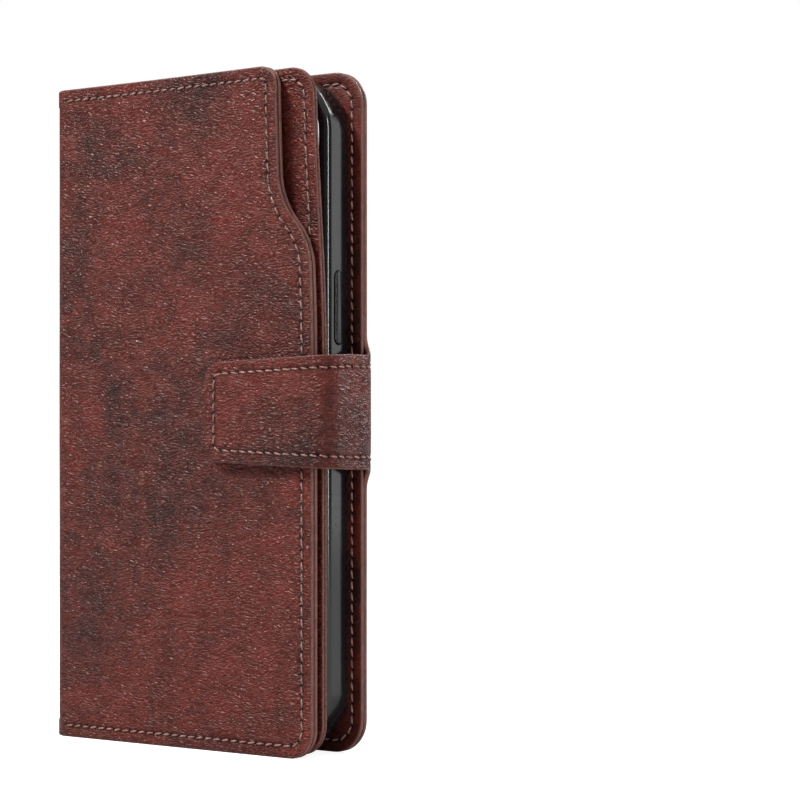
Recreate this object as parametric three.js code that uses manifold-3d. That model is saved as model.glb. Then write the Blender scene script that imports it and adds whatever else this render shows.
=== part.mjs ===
// Folio wallet case for a phone, standing upright and closed.
// Millimetres. +Z runs up the height, +X points to the opening side that the strap
// wraps, -X is the spine, the front cover faces -Y and the back panel faces +Y.
// Shapes are drawn by their distance x from the spine's outer face, their depth d in
// front of the back panel's outer face, and their height z above the bottom edge.
import * as THREE from 'three';
import { mergeVertices } from 'three/addons/utils/BufferGeometryUtils.js';
import Module from 'manifold-3d';

const wasm = await Module();
wasm.setup();

// Driving dimensions
const HEIGHT = 168; // panels, top to bottom
const CLOSED_DEPTH = 19; // back panel's outer face to cover's outer face
const BACK_WIDTH = 87.5;
const COVER_WIDTH = 84.5;
const SKIN = 0.875; // leather
const LINING = 0.625;
const PANEL = 2.75; // back panel and cover, all layers
const SPINE_THICKNESS = 2.5;
const TURNED_EDGE = 3; // width of the leather turned in around a board
const LAYER_GAP = 0.125; // between glued layers
const PLAY = 0.25; // around pieces that move or drop in
const BACK_CORNER = 8.5;
const COVER_TOP_CORNER = 5;
const PAGE_CORNER = 7.5;
const MITRE_GAP = 0.2; // at the two folds beside the spine

// Thumb notch in the cover's upper opening-side corner
const NOTCH_DEPTH = 9;
const NOTCH_STRAIGHT = 32; // from the top edge down to the slope
const NOTCH_SLOPE = 11;

// Middle page
const PAGE_WIDTH = 85;
const PAGE_INSET = 0.5; // shorter than the panels at the top and at the bottom
const PAGE_BACK = 13.125; // depth of its back face
const PAGE_THICKNESS = 1.875;
const PAGE_BACK_SKIN = 0.5;
const PAGE_HINGE_X = 4;
const STIFFENER = 0.375;
const BINDING = 0.25; // strip that hangs the page on the spine
const BINDING_WIDTH = 4;

// Card slots, three side by side on each face that has them
const SLOTS = 3;
const SLOT_THICKNESS = 0.375;
const SLOT_BOTTOM = 18;
const SLOT_TOP = 110;
const SLOT_CORNER = 1.5;

// Phone shell
const BAY_WIDTH = 78.5;
const BAY_HEIGHT = 161.25;
const BAY_DEPTH = 7.8125;
const SHELL_WALL = 1.25;
const SHELL_FLOOR = 1;
const SHELL_BACK = PANEL + LAYER_GAP; // depth of its back face
const SHELL_LEFT = 3.25;
const SHELL_CORNER = 13;
const LIP_THICKNESS = 0.8125;
const LIP_OVERHANG = 1.5;
const KEY_HEIGHT = 18; // power key
const VOLUME_KEY_HEIGHT = 11;
const KEY_WIDTH = 3.25;
const KEY_THICKNESS = 1;
const POWER_KEY_Z = 109.5;
const VOLUME_UP_Z = 127;
const VOLUME_DOWN_Z = 113;
const MUTE_Z = 139;
const MUTE_LENGTH = 7;
const PORT_WIDTH = 12;
const SPEAKER_WIDTH = 14;
const SPEAKER_OFFSET = 19;
const PORT_DEPTH = 5;

// Camera window, through the back panel and the shell's floor
const WINDOW_SIZE = 39;
const WINDOW_CORNER = 10.5;
const WINDOW_FROM_EDGE = 6;
const WINDOW_FROM_TOP = 5.75;
const SHELL_RIM = 1; // shell's floor shows this far inside the leather's window

// Stand crease down the back panel
const CREASE_X = 38;
const CREASE_WIDTH = 2;
const CREASE_DEPTH = 0.375;

// Strap
const STRAP_Z = 84;
const STRAP_ROOT_HEIGHT = 28;
const STRAP_TIP_HEIGHT = 24.5;
const STRAP_LENGTH = 35; // over the cover, from the case's edge
const STRAP_TIP_CORNER = 3;
const STRAP_THICKNESS = 1.75;
const STRAP_STANDOFF = 1.5; // between the case's edge and the strap beside it
const STRAP_MAGNET = { width: 12, height: 14, thickness: 0.25 };

// Stitched seams: a groove in the leather with the thread lying in it
const SEAM_INSET = 3;
const GROOVE_WIDTH = 0.75;
const GROOVE_DEPTH = 0.5;
const THREAD = 0.375;

const COVER_BACK = CLOSED_DEPTH - PANEL; // depth of the cover's lining face
const STRAP_INNER = CLOSED_DEPTH + PLAY; // depth of the strap's face on the cover
const SIDE_INNER = BACK_WIDTH + STRAP_STANDOFF; // x of the strap's face beside the case
const CASE_RIGHT = SIDE_INNER + STRAP_THICKNESS;
const CASE_FRONT = STRAP_INNER + STRAP_THICKNESS;

const ARC_STEPS = 5;
const FAR = 400; // reach of the blocks that only cut

const leather = { color: 0x4a2420, roughness: 0.42, metalness: 0 };
const liningLeather = { color: 0x54302a, roughness: 0.6, metalness: 0 };
const board = { color: 0x8a7a66, roughness: 0.95, metalness: 0 };
const steel = { color: 0x9a9da1, roughness: 0.35, metalness: 1 };
const magnetFinish = { color: 0xb9bcc0, roughness: 0.3, metalness: 1 };
const shellPlastic = { color: 0x0c0c0e, roughness: 0.18, metalness: 0 };
const threadFinish = { color: 0x8a5a50, roughness: 0.8, metalness: 0 };

// ---- outlines -------------------------------------------------------------------

// A rectangle with a radius for each corner, given anticlockwise from the lower left.
function roundedRect(x0, z0, x1, z1, [lowerLeft, lowerRight, upperRight, upperLeft]) {
  const shape = new THREE.Shape();
  shape.moveTo(x0 + lowerLeft, z0);
  shape.lineTo(x1 - lowerRight, z0);
  if (lowerRight) shape.absarc(x1 - lowerRight, z0 + lowerRight, lowerRight, -Math.PI / 2, 0);
  shape.lineTo(x1, z1 - upperRight);
  if (upperRight) shape.absarc(x1 - upperRight, z1 - upperRight, upperRight, 0, Math.PI / 2);
  shape.lineTo(x0 + upperLeft, z1);
  if (upperLeft) shape.absarc(x0 + upperLeft, z1 - upperLeft, upperLeft, Math.PI / 2, Math.PI);
  shape.lineTo(x0, z0 + lowerLeft);
  if (lowerLeft) shape.absarc(x0 + lowerLeft, z0 + lowerLeft, lowerLeft, Math.PI, Math.PI * 1.5);
  return shape;
}

function evenRect(x0, z0, x1, z1, radius) {
  return roundedRect(x0, z0, x1, z1, [radius, radius, radius, radius]);
}

// The cover's outline, with its notch, drawn in from every free edge by inset.
function coverOutline(inset, left = 0) {
  const right = COVER_WIDTH - inset;
  const notchX = right - NOTCH_DEPTH;
  const top = HEIGHT - inset;
  const slopeTop = HEIGHT - NOTCH_STRAIGHT;
  const slopeFoot = slopeTop - NOTCH_SLOPE;
  const low = Math.max(BACK_CORNER - inset, 0.5);
  const high = Math.max(COVER_TOP_CORNER - inset, 0.5);
  const shape = new THREE.Shape();
  shape.moveTo(left, inset);
  shape.lineTo(right - low, inset);
  shape.absarc(right - low, inset + low, low, -Math.PI / 2, 0);
  shape.lineTo(right, slopeFoot);
  const middle = (slopeTop + slopeFoot) / 2;
  shape.bezierCurveTo(right, middle, notchX, middle, notchX, slopeTop);
  shape.lineTo(notchX, top - high);
  shape.absarc(notchX - high, top - high, high, 0, Math.PI / 2);
  shape.lineTo(left, top);
  return shape;
}

function backOutline(inset, left = 0) {
  const corner = Math.max(BACK_CORNER - inset, 0.5);
  return roundedRect(left, inset, BACK_WIDTH - inset, HEIGHT - inset, [0, corner, corner, 0]);
}

function pageOutline(inset, left = PAGE_HINGE_X) {
  const corner = Math.max(PAGE_CORNER - inset, 0.5);
  const edge = PAGE_INSET + inset;
  return roundedRect(left, edge, PAGE_WIDTH - inset, HEIGHT - edge, [0, corner, corner, 0]);
}

// The strap's tip: it narrows from the case's edge to its rounded end.
function strapTipOutline(inset, right = BACK_WIDTH) {
  const end = BACK_WIDTH - STRAP_LENGTH + inset;
  const root = STRAP_ROOT_HEIGHT / 2 - inset;
  const tip = STRAP_TIP_HEIGHT / 2 - inset;
  const corner = Math.max(STRAP_TIP_CORNER - inset, 0.5);
  const shape = new THREE.Shape();
  shape.moveTo(right, STRAP_Z - root);
  shape.lineTo(right, STRAP_Z + root);
  shape.lineTo(end + corner, STRAP_Z + tip);
  shape.quadraticCurveTo(end, STRAP_Z + tip, end, STRAP_Z + tip - corner);
  shape.lineTo(end, STRAP_Z - tip + corner);
  shape.quadraticCurveTo(end, STRAP_Z - tip, end + corner, STRAP_Z - tip);
  return shape;
}

function cameraWindow(grow) {
  const right = BACK_WIDTH - WINDOW_FROM_EDGE + grow;
  const top = HEIGHT - WINDOW_FROM_TOP + grow;
  const side = WINDOW_SIZE + 2 * grow;
  return evenRect(right - side, top - side, right, top, WINDOW_CORNER + grow);
}

// ---- solids ---------------------------------------------------------------------

function toSolid(geometry) {
  geometry.deleteAttribute('normal');
  geometry.deleteAttribute('uv');
  const merged = mergeVertices(geometry, 1e-4);
  return new wasm.Manifold(new wasm.Mesh({
    numProp: 3,
    vertProperties: new Float32Array(merged.attributes.position.array),
    triVerts: new Uint32Array(merged.index.array),
  }));
}

function extrude(shape, length) {
  return new THREE.ExtrudeGeometry(shape, {
    depth: length, bevelEnabled: false, curveSegments: ARC_STEPS,
  });
}

// A plate whose outline is drawn in x and z, between two depths.
function plate(shape, nearBack, nearFront) {
  const geometry = extrude(shape, nearFront - nearBack);
  geometry.translate(0, 0, nearBack);
  geometry.rotateX(Math.PI / 2);
  return toSolid(geometry);
}

// An upright bar whose section is drawn in x and -d.
function bar(points, z0, z1) {
  const shape = new THREE.Shape(points.map(([x, d]) => new THREE.Vector2(x, -d)));
  const geometry = extrude(shape, z1 - z0);
  geometry.translate(0, 0, z0);
  return toSolid(geometry);
}

function block(x0, x1, d0, d1, z0, z1) {
  return bar([[x0, d0], [x0, d1], [x1, d1], [x1, d0]], z0, z1);
}

// A closed band of the seam's width that follows an outline at the seam's inset.
function seamBand(outline, width, d0, d1) {
  const outer = plate(outline(SEAM_INSET - width / 2), d0, d1);
  return outer.subtract(plate(outline(SEAM_INSET + width / 2), d0 - 1, d1 + 1));
}

// What lies beyond the mitre at the back fold, and at the front fold.
function backMitre() {
  return bar([[-FAR, -FAR], [-FAR, FAR], [FAR + MITRE_GAP, FAR], [-FAR + MITRE_GAP, -FAR]], -1, HEIGHT + 1);
}

function frontMitre() {
  const corner = CLOSED_DEPTH;
  return bar([
    [-FAR, corner + FAR], [-FAR + MITRE_GAP, corner + FAR],
    [FAR + MITRE_GAP, corner - FAR], [-FAR, corner - FAR],
  ], -1, HEIGHT + 1);
}

// ---- scene graph ----------------------------------------------------------------

const phoneWalletCase = new THREE.Group();
phoneWalletCase.position.set(-CASE_RIGHT / 2, CASE_FRONT / 2, 0);

function addPart(name, solid, finish) {
  const { vertProperties, triVerts } = solid.getMesh();
  const geometry = new THREE.BufferGeometry();
  geometry.setAttribute('position', new THREE.BufferAttribute(vertProperties, 3));
  geometry.setIndex(new THREE.BufferAttribute(triVerts, 1));
  geometry.computeVertexNormals();
  const mesh = new THREE.Mesh(geometry, new THREE.MeshStandardMaterial(finish));
  mesh.name = name;
  phoneWalletCase.add(mesh);
}

// A leather skin with its edge turned in: a shallow tray that the board lies in.
// outward is +1 where the skin's outer face is at the greater depth, and -1 otherwise.
function turnedSkin(outline, outer, depth, outward) {
  const inner = outer - outward * depth;
  const floor = outer - outward * SKIN;
  const whole = plate(outline(0), Math.min(inner, outer), Math.max(inner, outer));
  const hollow = plate(
    outline(TURNED_EDGE + SEAM_INSET / 2, PANEL + TURNED_EDGE),
    Math.min(inner - outward, floor), Math.max(inner - outward, floor),
  );
  return whole.subtract(hollow);
}

function boardShape(outline) {
  return outline(TURNED_EDGE + SEAM_INSET / 2 + PLAY, PANEL + TURNED_EDGE + PLAY);
}

// Back panel: leather skin, two boards either side of the stand crease, and lining.
function addBackPanel() {
  const liningFront = PANEL;
  const liningBack = PANEL - LINING;
  const boardBack = SKIN + LAYER_GAP;
  const boardFront = liningBack - LAYER_GAP;
  const window = plate(cameraWindow(0), -1, PANEL + 1);
  const windowX = BACK_WIDTH - WINDOW_FROM_EDGE - WINDOW_SIZE / 2;
  const windowZ = HEIGHT - WINDOW_FROM_TOP - WINDOW_SIZE / 2;
  const boardWindow = plate(cameraWindow(SEAM_INSET + PLAY), -1, PANEL + 1)
    .add(block(windowX, FAR, -1, PANEL + 1, windowZ, FAR));
  const rim = plate(cameraWindow(SEAM_INSET), SKIN, boardFront + LAYER_GAP / 2);
  const crease = block(
    CREASE_X - CREASE_WIDTH / 2, CREASE_X + CREASE_WIDTH / 2, -1, CREASE_DEPTH, -1, HEIGHT + 1,
  );
  const skin = turnedSkin(backOutline, 0, boardFront + LAYER_GAP / 2, -1)
    .add(rim)
    .subtract(window)
    .subtract(crease)
    .subtract(backMitre())
    .subtract(backSeam(GROOVE_WIDTH, -1, GROOVE_DEPTH));
  addPart('back_skin', skin, leather);
  addPart('back_seam_thread', backSeam(THREAD, LAYER_GAP, GROOVE_DEPTH - LAYER_GAP), threadFinish);

  const boards = plate(boardShape(backOutline), boardBack, boardFront).subtract(boardWindow);
  const overCrease = CREASE_X + CREASE_WIDTH / 2;
  const beforeCrease = CREASE_X - CREASE_WIDTH / 2;
  addPart('back_board', boards.subtract(block(-1, overCrease, -1, PANEL, -1, HEIGHT + 1)), board);
  addPart('stand_board', boards.subtract(block(beforeCrease, FAR, -1, PANEL, -1, HEIGHT + 1)), board);

  const lining = plate(backOutline(0), liningBack, liningFront)
    .subtract(window)
    .subtract(backMitre());
  addPart('back_lining', lining, liningLeather);
}

// The back panel's seam stops short of the strap's root, which carries it on.
function backSeam(width, d0, d1) {
  const clearOfWindow = plate(cameraWindow(GROOVE_WIDTH * 2), d0 - 1, d1 + 1);
  return seamBand((inset) => backOutline(inset, -FAR), width, d0, d1)
    .subtract(block(-FAR, PANEL + 1, -2, PANEL, -1, HEIGHT + 1))
    .subtract(clearOfWindow);
}

// Spine strip between the two folds.
function addSpine() {
  const front = CLOSED_DEPTH;
  const strip = (x0, x1) => [
    [x0, x0 + MITRE_GAP], [x0, front - x0 - MITRE_GAP],
    [x1, front - x1 - MITRE_GAP], [x1, x1 + MITRE_GAP],
  ];
  addPart('spine_skin', bar(strip(0, SKIN), 0, HEIGHT), leather);
  const stiffenerX = SKIN + LAYER_GAP;
  const stiffenerEnd = stiffenerX + STIFFENER;
  const shortBy = TURNED_EDGE;
  addPart('spine_stiffener', block(
    stiffenerX, stiffenerEnd, PANEL + 1, front - PANEL - 1, shortBy, HEIGHT - shortBy,
  ), board);
  addPart('spine_lining', bar(strip(SPINE_THICKNESS - LINING, SPINE_THICKNESS), 0, HEIGHT), liningLeather);
}

// Front cover: skin with the notch, board with the magnet plate let into it, lining.
function addCover() {
  const front = CLOSED_DEPTH;
  const liningFront = COVER_BACK + LINING;
  const boardBack = liningFront + LAYER_GAP;
  const boardFront = front - SKIN - LAYER_GAP;
  const skin = turnedSkin(coverOutline, front, front - boardBack + LAYER_GAP / 2, 1)
    .subtract(frontMitre())
    .subtract(coverSeam(GROOVE_WIDTH, front - GROOVE_DEPTH, front + 1));
  addPart('cover_skin', skin, leather);
  const threadFront = front - LAYER_GAP;
  addPart('cover_seam_thread', coverSeam(THREAD, front - GROOVE_DEPTH + LAYER_GAP, threadFront), threadFinish);

  const { width, height } = STRAP_MAGNET;
  const plateX = BACK_WIDTH - STRAP_LENGTH + TURNED_EDGE + width / 2;
  const steelPlate = (grow, d0, d1) => block(
    plateX - width / 2 - grow, plateX + width / 2 + grow, d0, d1,
    STRAP_Z - height / 2 - grow, STRAP_Z + height / 2 + grow,
  );
  const coverBoard = plate(boardShape(coverOutline), boardBack, boardFront)
    .subtract(steelPlate(PLAY, boardBack - 1, boardFront + 1));
  addPart('cover_board', coverBoard, board);
  addPart('cover_magnet_plate', steelPlate(0, boardBack, boardFront), steel);
  addPart('cover_lining', plate(coverOutline(0), COVER_BACK, liningFront).subtract(frontMitre()), liningLeather);
}

function coverSeam(width, d0, d1) {
  return seamBand((inset) => coverOutline(inset, -FAR), width, d0, d1)
    .subtract(block(-FAR, PANEL + 1, d0 - 2, d1 + 2, -1, HEIGHT + 1));
}

// Card slots of one face: upright strips of leather, side by side.
function addCardSlots(prefix, x0, x1, d0) {
  const step = (x1 - x0) / SLOTS;
  for (let slot = 0; slot < SLOTS; slot++) {
    const left = x0 + slot * step;
    const outline = evenRect(left, SLOT_BOTTOM, left + step - PLAY, SLOT_TOP, SLOT_CORNER);
    addPart(`${prefix}_card_slot_${slot + 1}`, plate(outline, d0, d0 + SLOT_THICKNESS), liningLeather);
  }
}

// Middle page: two skins round a stiffener, hung on the spine by a binding strip.
function addPage() {
  const back = PAGE_BACK;
  const front = PAGE_BACK + PAGE_THICKNESS;
  const middle = (back + front) / 2;
  const fold = new THREE.Shape();
  fold.absarc(PAGE_HINGE_X, -middle, PAGE_THICKNESS / 2, Math.PI / 2, Math.PI * 1.5);
  const roundEdge = new THREE.ExtrudeGeometry(fold, {
    depth: HEIGHT - 2 * PAGE_INSET, bevelEnabled: false, curveSegments: 2 * ARC_STEPS,
  });
  roundEdge.translate(0, 0, PAGE_INSET);
  const frontSkinBack = back + PAGE_BACK_SKIN + STIFFENER + 2 * LAYER_GAP;
  const frontSkin = plate(pageOutline(0), frontSkinBack, front)
    .add(toSolid(roundEdge))
    .subtract(pageSeam(GROOVE_WIDTH, front - GROOVE_DEPTH, front + 1));
  const backSkin = plate(pageOutline(0, PAGE_HINGE_X + LAYER_GAP), back, back + PAGE_BACK_SKIN);
  const stiffener = plate(
    pageOutline(TURNED_EDGE + SEAM_INSET / 2, PAGE_HINGE_X + TURNED_EDGE),
    back + PAGE_BACK_SKIN + LAYER_GAP, frontSkinBack - LAYER_GAP,
  );
  addPart('page_front_skin', frontSkin, leather);
  addPart('page_back_skin', backSkin, liningLeather);
  addPart('page_stiffener', stiffener, board);
  addPart('page_seam_thread', pageSeam(
    THREAD, front - GROOVE_DEPTH + LAYER_GAP, front - LAYER_GAP,
  ), threadFinish);
  const bindingX = SPINE_THICKNESS + LAYER_GAP;
  addPart('page_binding', block(
    bindingX, bindingX + BINDING, middle - BINDING_WIDTH, middle,
    PAGE_INSET + 1, HEIGHT - PAGE_INSET - 1,
  ), liningLeather);
}

function pageSeam(width, d0, d1) {
  return seamBand((inset) => pageOutline(inset, -FAR), width, d0, d1)
    .subtract(block(-FAR, PAGE_HINGE_X + 3, d0 - 2, d1 + 2, -1, HEIGHT + 1));
}

// The moulded shell that grips the phone, open at the front inside its lip.
function addShell() {
  const back = SHELL_BACK;
  const bayBack = back + SHELL_FLOOR;
  const bayFront = bayBack + BAY_DEPTH;
  const front = bayFront + LIP_THICKNESS;
  const width = BAY_WIDTH + 2 * SHELL_WALL;
  const height = BAY_HEIGHT + 2 * SHELL_WALL;
  const bottom = (HEIGHT - height) / 2;
  const inner = (inset) => evenRect(
    SHELL_LEFT + inset, bottom + inset, SHELL_LEFT + width - inset, bottom + height - inset,
    SHELL_CORNER - inset,
  );
  const right = SHELL_LEFT + width;
  const middleD = (bayBack + bayFront) / 2;
  const wallSlot = (x0, x1, z, length, grow) => block(
    x0, x1, middleD - KEY_WIDTH / 2 - grow, middleD + KEY_WIDTH / 2 + grow,
    z - length / 2 - grow, z + length / 2 + grow,
  );
  const endSlot = (centre, length) => block(
    centre - length / 2, centre + length / 2, middleD - PORT_DEPTH / 2, middleD + PORT_DEPTH / 2,
    bottom - 1, bottom + SHELL_WALL + 1,
  );
  const centre = SHELL_LEFT + width / 2;
  const shell = plate(inner(0), back, front)
    .subtract(plate(inner(SHELL_WALL), bayBack, bayFront))
    .subtract(plate(inner(SHELL_WALL + LIP_OVERHANG), bayFront - 1, front + 1))
    .subtract(plate(cameraWindow(-SHELL_RIM), back - 1, bayBack + 1))
    .subtract(endSlot(centre, PORT_WIDTH))
    .subtract(endSlot(centre - SPEAKER_OFFSET, SPEAKER_WIDTH))
    .subtract(endSlot(centre + SPEAKER_OFFSET, SPEAKER_WIDTH))
    .subtract(wallSlot(right - SHELL_WALL - 1, right + 1, POWER_KEY_Z, KEY_HEIGHT, PLAY))
    .subtract(wallSlot(SHELL_LEFT - 1, SHELL_LEFT + SHELL_WALL + 1, VOLUME_UP_Z, VOLUME_KEY_HEIGHT, PLAY))
    .subtract(wallSlot(SHELL_LEFT - 1, SHELL_LEFT + SHELL_WALL + 1, VOLUME_DOWN_Z, VOLUME_KEY_HEIGHT, PLAY))
    .subtract(wallSlot(SHELL_LEFT - 1, SHELL_LEFT + SHELL_WALL + 1, MUTE_Z, MUTE_LENGTH, PLAY));
  addPart('phone_shell', shell, shellPlastic);

  const proud = 0.375;
  addPart('power_key', wallSlot(
    right + proud - KEY_THICKNESS, right + proud, POWER_KEY_Z, KEY_HEIGHT, 0,
  ), shellPlastic);
  for (const [name, z] of [['volume_up_key', VOLUME_UP_Z], ['volume_down_key', VOLUME_DOWN_Z]]) {
    addPart(name, wallSlot(
      SHELL_LEFT - proud, SHELL_LEFT - proud + KEY_THICKNESS, z, VOLUME_KEY_HEIGHT, 0,
    ), shellPlastic);
  }
}

// Strap: a side section from the back panel's edge, and a tip over the cover that
// holds a flat magnet. Both are leather outside and lining inside.
function addStrap() {
  const skinBack = CASE_FRONT - SKIN;
  const liningFront = skinBack - LAYER_GAP;
  addPart('strap_side_skin', strapSide(0, SKIN), leather);
  addPart('strap_side_lining', strapSide(SKIN + LAYER_GAP, STRAP_THICKNESS), liningLeather);

  const tipSkin = plate(strapTipOutline(0), skinBack, CASE_FRONT)
    .subtract(strapSeam(GROOVE_WIDTH, CASE_FRONT - GROOVE_DEPTH, CASE_FRONT + 1));
  addPart('strap_tip_skin', tipSkin, leather);
  addPart('strap_seam_thread', strapSeam(
    THREAD, CASE_FRONT - GROOVE_DEPTH + LAYER_GAP, CASE_FRONT - LAYER_GAP,
  ), threadFinish);

  const { width, height, thickness } = STRAP_MAGNET;
  const magnetX = BACK_WIDTH - STRAP_LENGTH + TURNED_EDGE;
  const magnetBack = liningFront - thickness;
  const magnet = (grow, d0) => block(
    magnetX - grow, magnetX + width + grow, d0, liningFront + grow,
    STRAP_Z - height / 2 - grow, STRAP_Z + height / 2 + grow,
  );
  addPart('strap_tip_lining', plate(strapTipOutline(0), STRAP_INNER, liningFront)
    .subtract(magnet(LAYER_GAP, magnetBack - LAYER_GAP)), liningLeather);
  addPart('strap_magnet', magnet(0, magnetBack), magnetFinish);
}

// The strap beside the case: a band bent forward at the back panel's edge and bent
// again over the cover, between two distances in from its outer face.
function strapSide(outer, inner) {
  const start = BACK_WIDTH + PLAY;
  const bend = CASE_RIGHT - start;
  const rearCentre = [start, -bend];
  const frontCentre = [start, bend - CASE_FRONT];
  const section = new THREE.Shape();
  section.moveTo(start, -outer);
  section.absarc(...rearCentre, bend - outer, Math.PI / 2, 0, true);
  section.lineTo(CASE_RIGHT - outer, bend - CASE_FRONT);
  section.absarc(...frontCentre, bend - outer, 0, -Math.PI / 2, true);
  section.lineTo(start, inner - CASE_FRONT);
  section.absarc(...frontCentre, bend - inner, -Math.PI / 2, 0);
  section.lineTo(CASE_RIGHT - inner, -bend);
  section.absarc(...rearCentre, bend - inner, 0, Math.PI / 2);
  const band = extrude(section, STRAP_ROOT_HEIGHT);
  band.translate(0, 0, STRAP_Z - STRAP_ROOT_HEIGHT / 2);
  return toSolid(band);
}

function strapSeam(width, d0, d1) {
  return seamBand((inset) => strapTipOutline(inset, FAR), width, d0, d1)
    .subtract(block(BACK_WIDTH - 1, FAR + 1, d0 - 2, d1 + 2, -1, HEIGHT + 1));
}

addBackPanel();
addShell();
addSpine();
addCover();
addPage();
addStrap();

const slotMargin = TURNED_EDGE + SEAM_INSET / 2;
addCardSlots('cover', 8, COVER_WIDTH - NOTCH_DEPTH - slotMargin, COVER_BACK - LAYER_GAP - SLOT_THICKNESS);
addCardSlots('page_front', 10, PAGE_WIDTH - slotMargin, PAGE_BACK + PAGE_THICKNESS + LAYER_GAP);
addCardSlots('page_back', 10, PAGE_WIDTH - slotMargin, PAGE_BACK - LAYER_GAP - SLOT_THICKNESS);

export default phoneWalletCase;
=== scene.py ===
"""Leather folio wallet case for a phone: stitched leather sheets, a moulded shell and a magnetic strap."""

import math
from bisect import bisect_right

import bmesh
import bpy
from bpy.props import FloatProperty, FloatVectorProperty, PointerProperty
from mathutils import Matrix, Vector, kdtree, noise
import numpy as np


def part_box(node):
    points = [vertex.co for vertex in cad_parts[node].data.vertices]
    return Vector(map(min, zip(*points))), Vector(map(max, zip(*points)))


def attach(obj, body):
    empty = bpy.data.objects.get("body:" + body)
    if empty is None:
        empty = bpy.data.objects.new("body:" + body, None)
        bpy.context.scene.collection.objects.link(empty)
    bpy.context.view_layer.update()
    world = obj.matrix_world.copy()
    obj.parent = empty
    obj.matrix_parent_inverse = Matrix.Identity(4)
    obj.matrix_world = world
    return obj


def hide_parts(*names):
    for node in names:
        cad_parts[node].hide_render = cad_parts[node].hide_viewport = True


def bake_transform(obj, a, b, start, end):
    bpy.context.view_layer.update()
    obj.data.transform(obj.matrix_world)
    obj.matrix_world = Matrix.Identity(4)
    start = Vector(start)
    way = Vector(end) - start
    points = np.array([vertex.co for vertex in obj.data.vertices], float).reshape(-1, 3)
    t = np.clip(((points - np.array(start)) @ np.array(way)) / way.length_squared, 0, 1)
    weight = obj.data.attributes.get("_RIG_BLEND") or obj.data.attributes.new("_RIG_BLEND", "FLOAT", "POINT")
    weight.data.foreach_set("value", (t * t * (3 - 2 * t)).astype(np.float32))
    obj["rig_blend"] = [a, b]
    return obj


bl_info = {
    "name": "Phone wallet case",
    "version": (1, 0, 0),
    "blender": (4, 5, 0),
    "location": "View3D > Sidebar > Wallet Case",
    "description": "Builds a leather folio wallet case around its packed frame",
    "category": "Add Mesh",
}

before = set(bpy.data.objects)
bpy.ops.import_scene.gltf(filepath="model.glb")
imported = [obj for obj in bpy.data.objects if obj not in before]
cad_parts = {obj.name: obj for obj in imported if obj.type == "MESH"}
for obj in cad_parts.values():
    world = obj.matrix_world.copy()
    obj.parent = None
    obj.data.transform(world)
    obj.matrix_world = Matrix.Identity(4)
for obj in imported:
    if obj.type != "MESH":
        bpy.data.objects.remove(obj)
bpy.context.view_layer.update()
MM = 0.001

# Faces of the packed model that the leather and the shell are built to
SPINE_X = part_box("spine_skin")[0].x
SPINE_INNER_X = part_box("spine_lining")[1].x
BACK_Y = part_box("back_skin")[1].y
BACK_INNER_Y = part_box("back_lining")[0].y
BACK_EDGE_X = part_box("back_skin")[1].x
COVER_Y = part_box("cover_skin")[0].y
COVER_INNER_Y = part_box("cover_lining")[1].y
COVER_EDGE_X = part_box("cover_skin")[1].x
TOP_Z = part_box("back_skin")[1].z
PAGE_LOW, PAGE_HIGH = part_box("page_front_skin")
PAGE_BACK_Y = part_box("page_back_skin")[1].y
STRAP_LOW, STRAP_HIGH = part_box("strap_tip_skin")
STRAP_SIDE_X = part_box("strap_side_skin")[1].x
MID_Y = (BACK_Y + COVER_Y) / 2
SIDE_MID_Y = (BACK_Y + STRAP_LOW.y) / 2

# How the edge of a leather layer rounds over: (distance in from the edge, drop)
EDGE_PROFILE = ((0.0, 0.42 * MM), (0.12 * MM, 0.2 * MM), (0.3 * MM, 0.07 * MM), (0.6 * MM, 0.0))
SPARE = 8 * MM  # length built past a cut side, then trimmed
SPARE_CORNER = 6 * MM
FOLD_DIP = 1.2 * MM  # how far the lining is pressed into a fold

# Each finish: its material, and its slot in the record
OUTER = ("waxed_leather", "outer_leather")
LINING = ("smooth_leather", "lining_leather")
THREAD = ("sewing_thread", "thread")
BOARD = ("pressed_board", "board")
PLASTIC = ("moulded_shell", "shell_plastic")

STITCH_SINK = 0.1 * MM  # how deep a stitch lies in the leather
STITCH_DIP = 0.28 * MM  # how much deeper its ends go
CREASE_DEPTH = 0.55 * MM  # of the stand crease
CREASE_WIDTH = 1.15 * MM  # from its bottom to where it has risen by two thirds
SILENCER_LOW_Z, SILENCER_HIGH_Z = 135.5 * MM, 142.5 * MM  # ends of the silencer window
SILENCER_HALF, SILENCER_CORNER = 1.6 * MM, 1.59 * MM
PORTS = ((-19 * MM, 14 * MM), (0.0, 12 * MM), (19 * MM, 14 * MM))  # place from the middle, and width
PORT_HALF, PORT_CORNER = 2.5 * MM, 2.4 * MM
KEY_POCKET = 0.75 * MM  # depth of each key's recess in the shell's wall
KEY_ROOM = 0.46 * MM  # free space under a key, for its 0.4 mm of travel


# ---- settings ---------------------------------------------------------------------


def length(name, description, default):
    """A setting that is a length in metres."""
    return FloatProperty(
        name=name, description=description, default=default, min=0.0, subtype="DISTANCE", unit="LENGTH"
    )


def colour(name, description, default):
    """A setting that is a linear colour."""
    return FloatVectorProperty(
        name=name, description=description, default=default, min=0.0, max=1.0, size=3, subtype="COLOR"
    )


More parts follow.
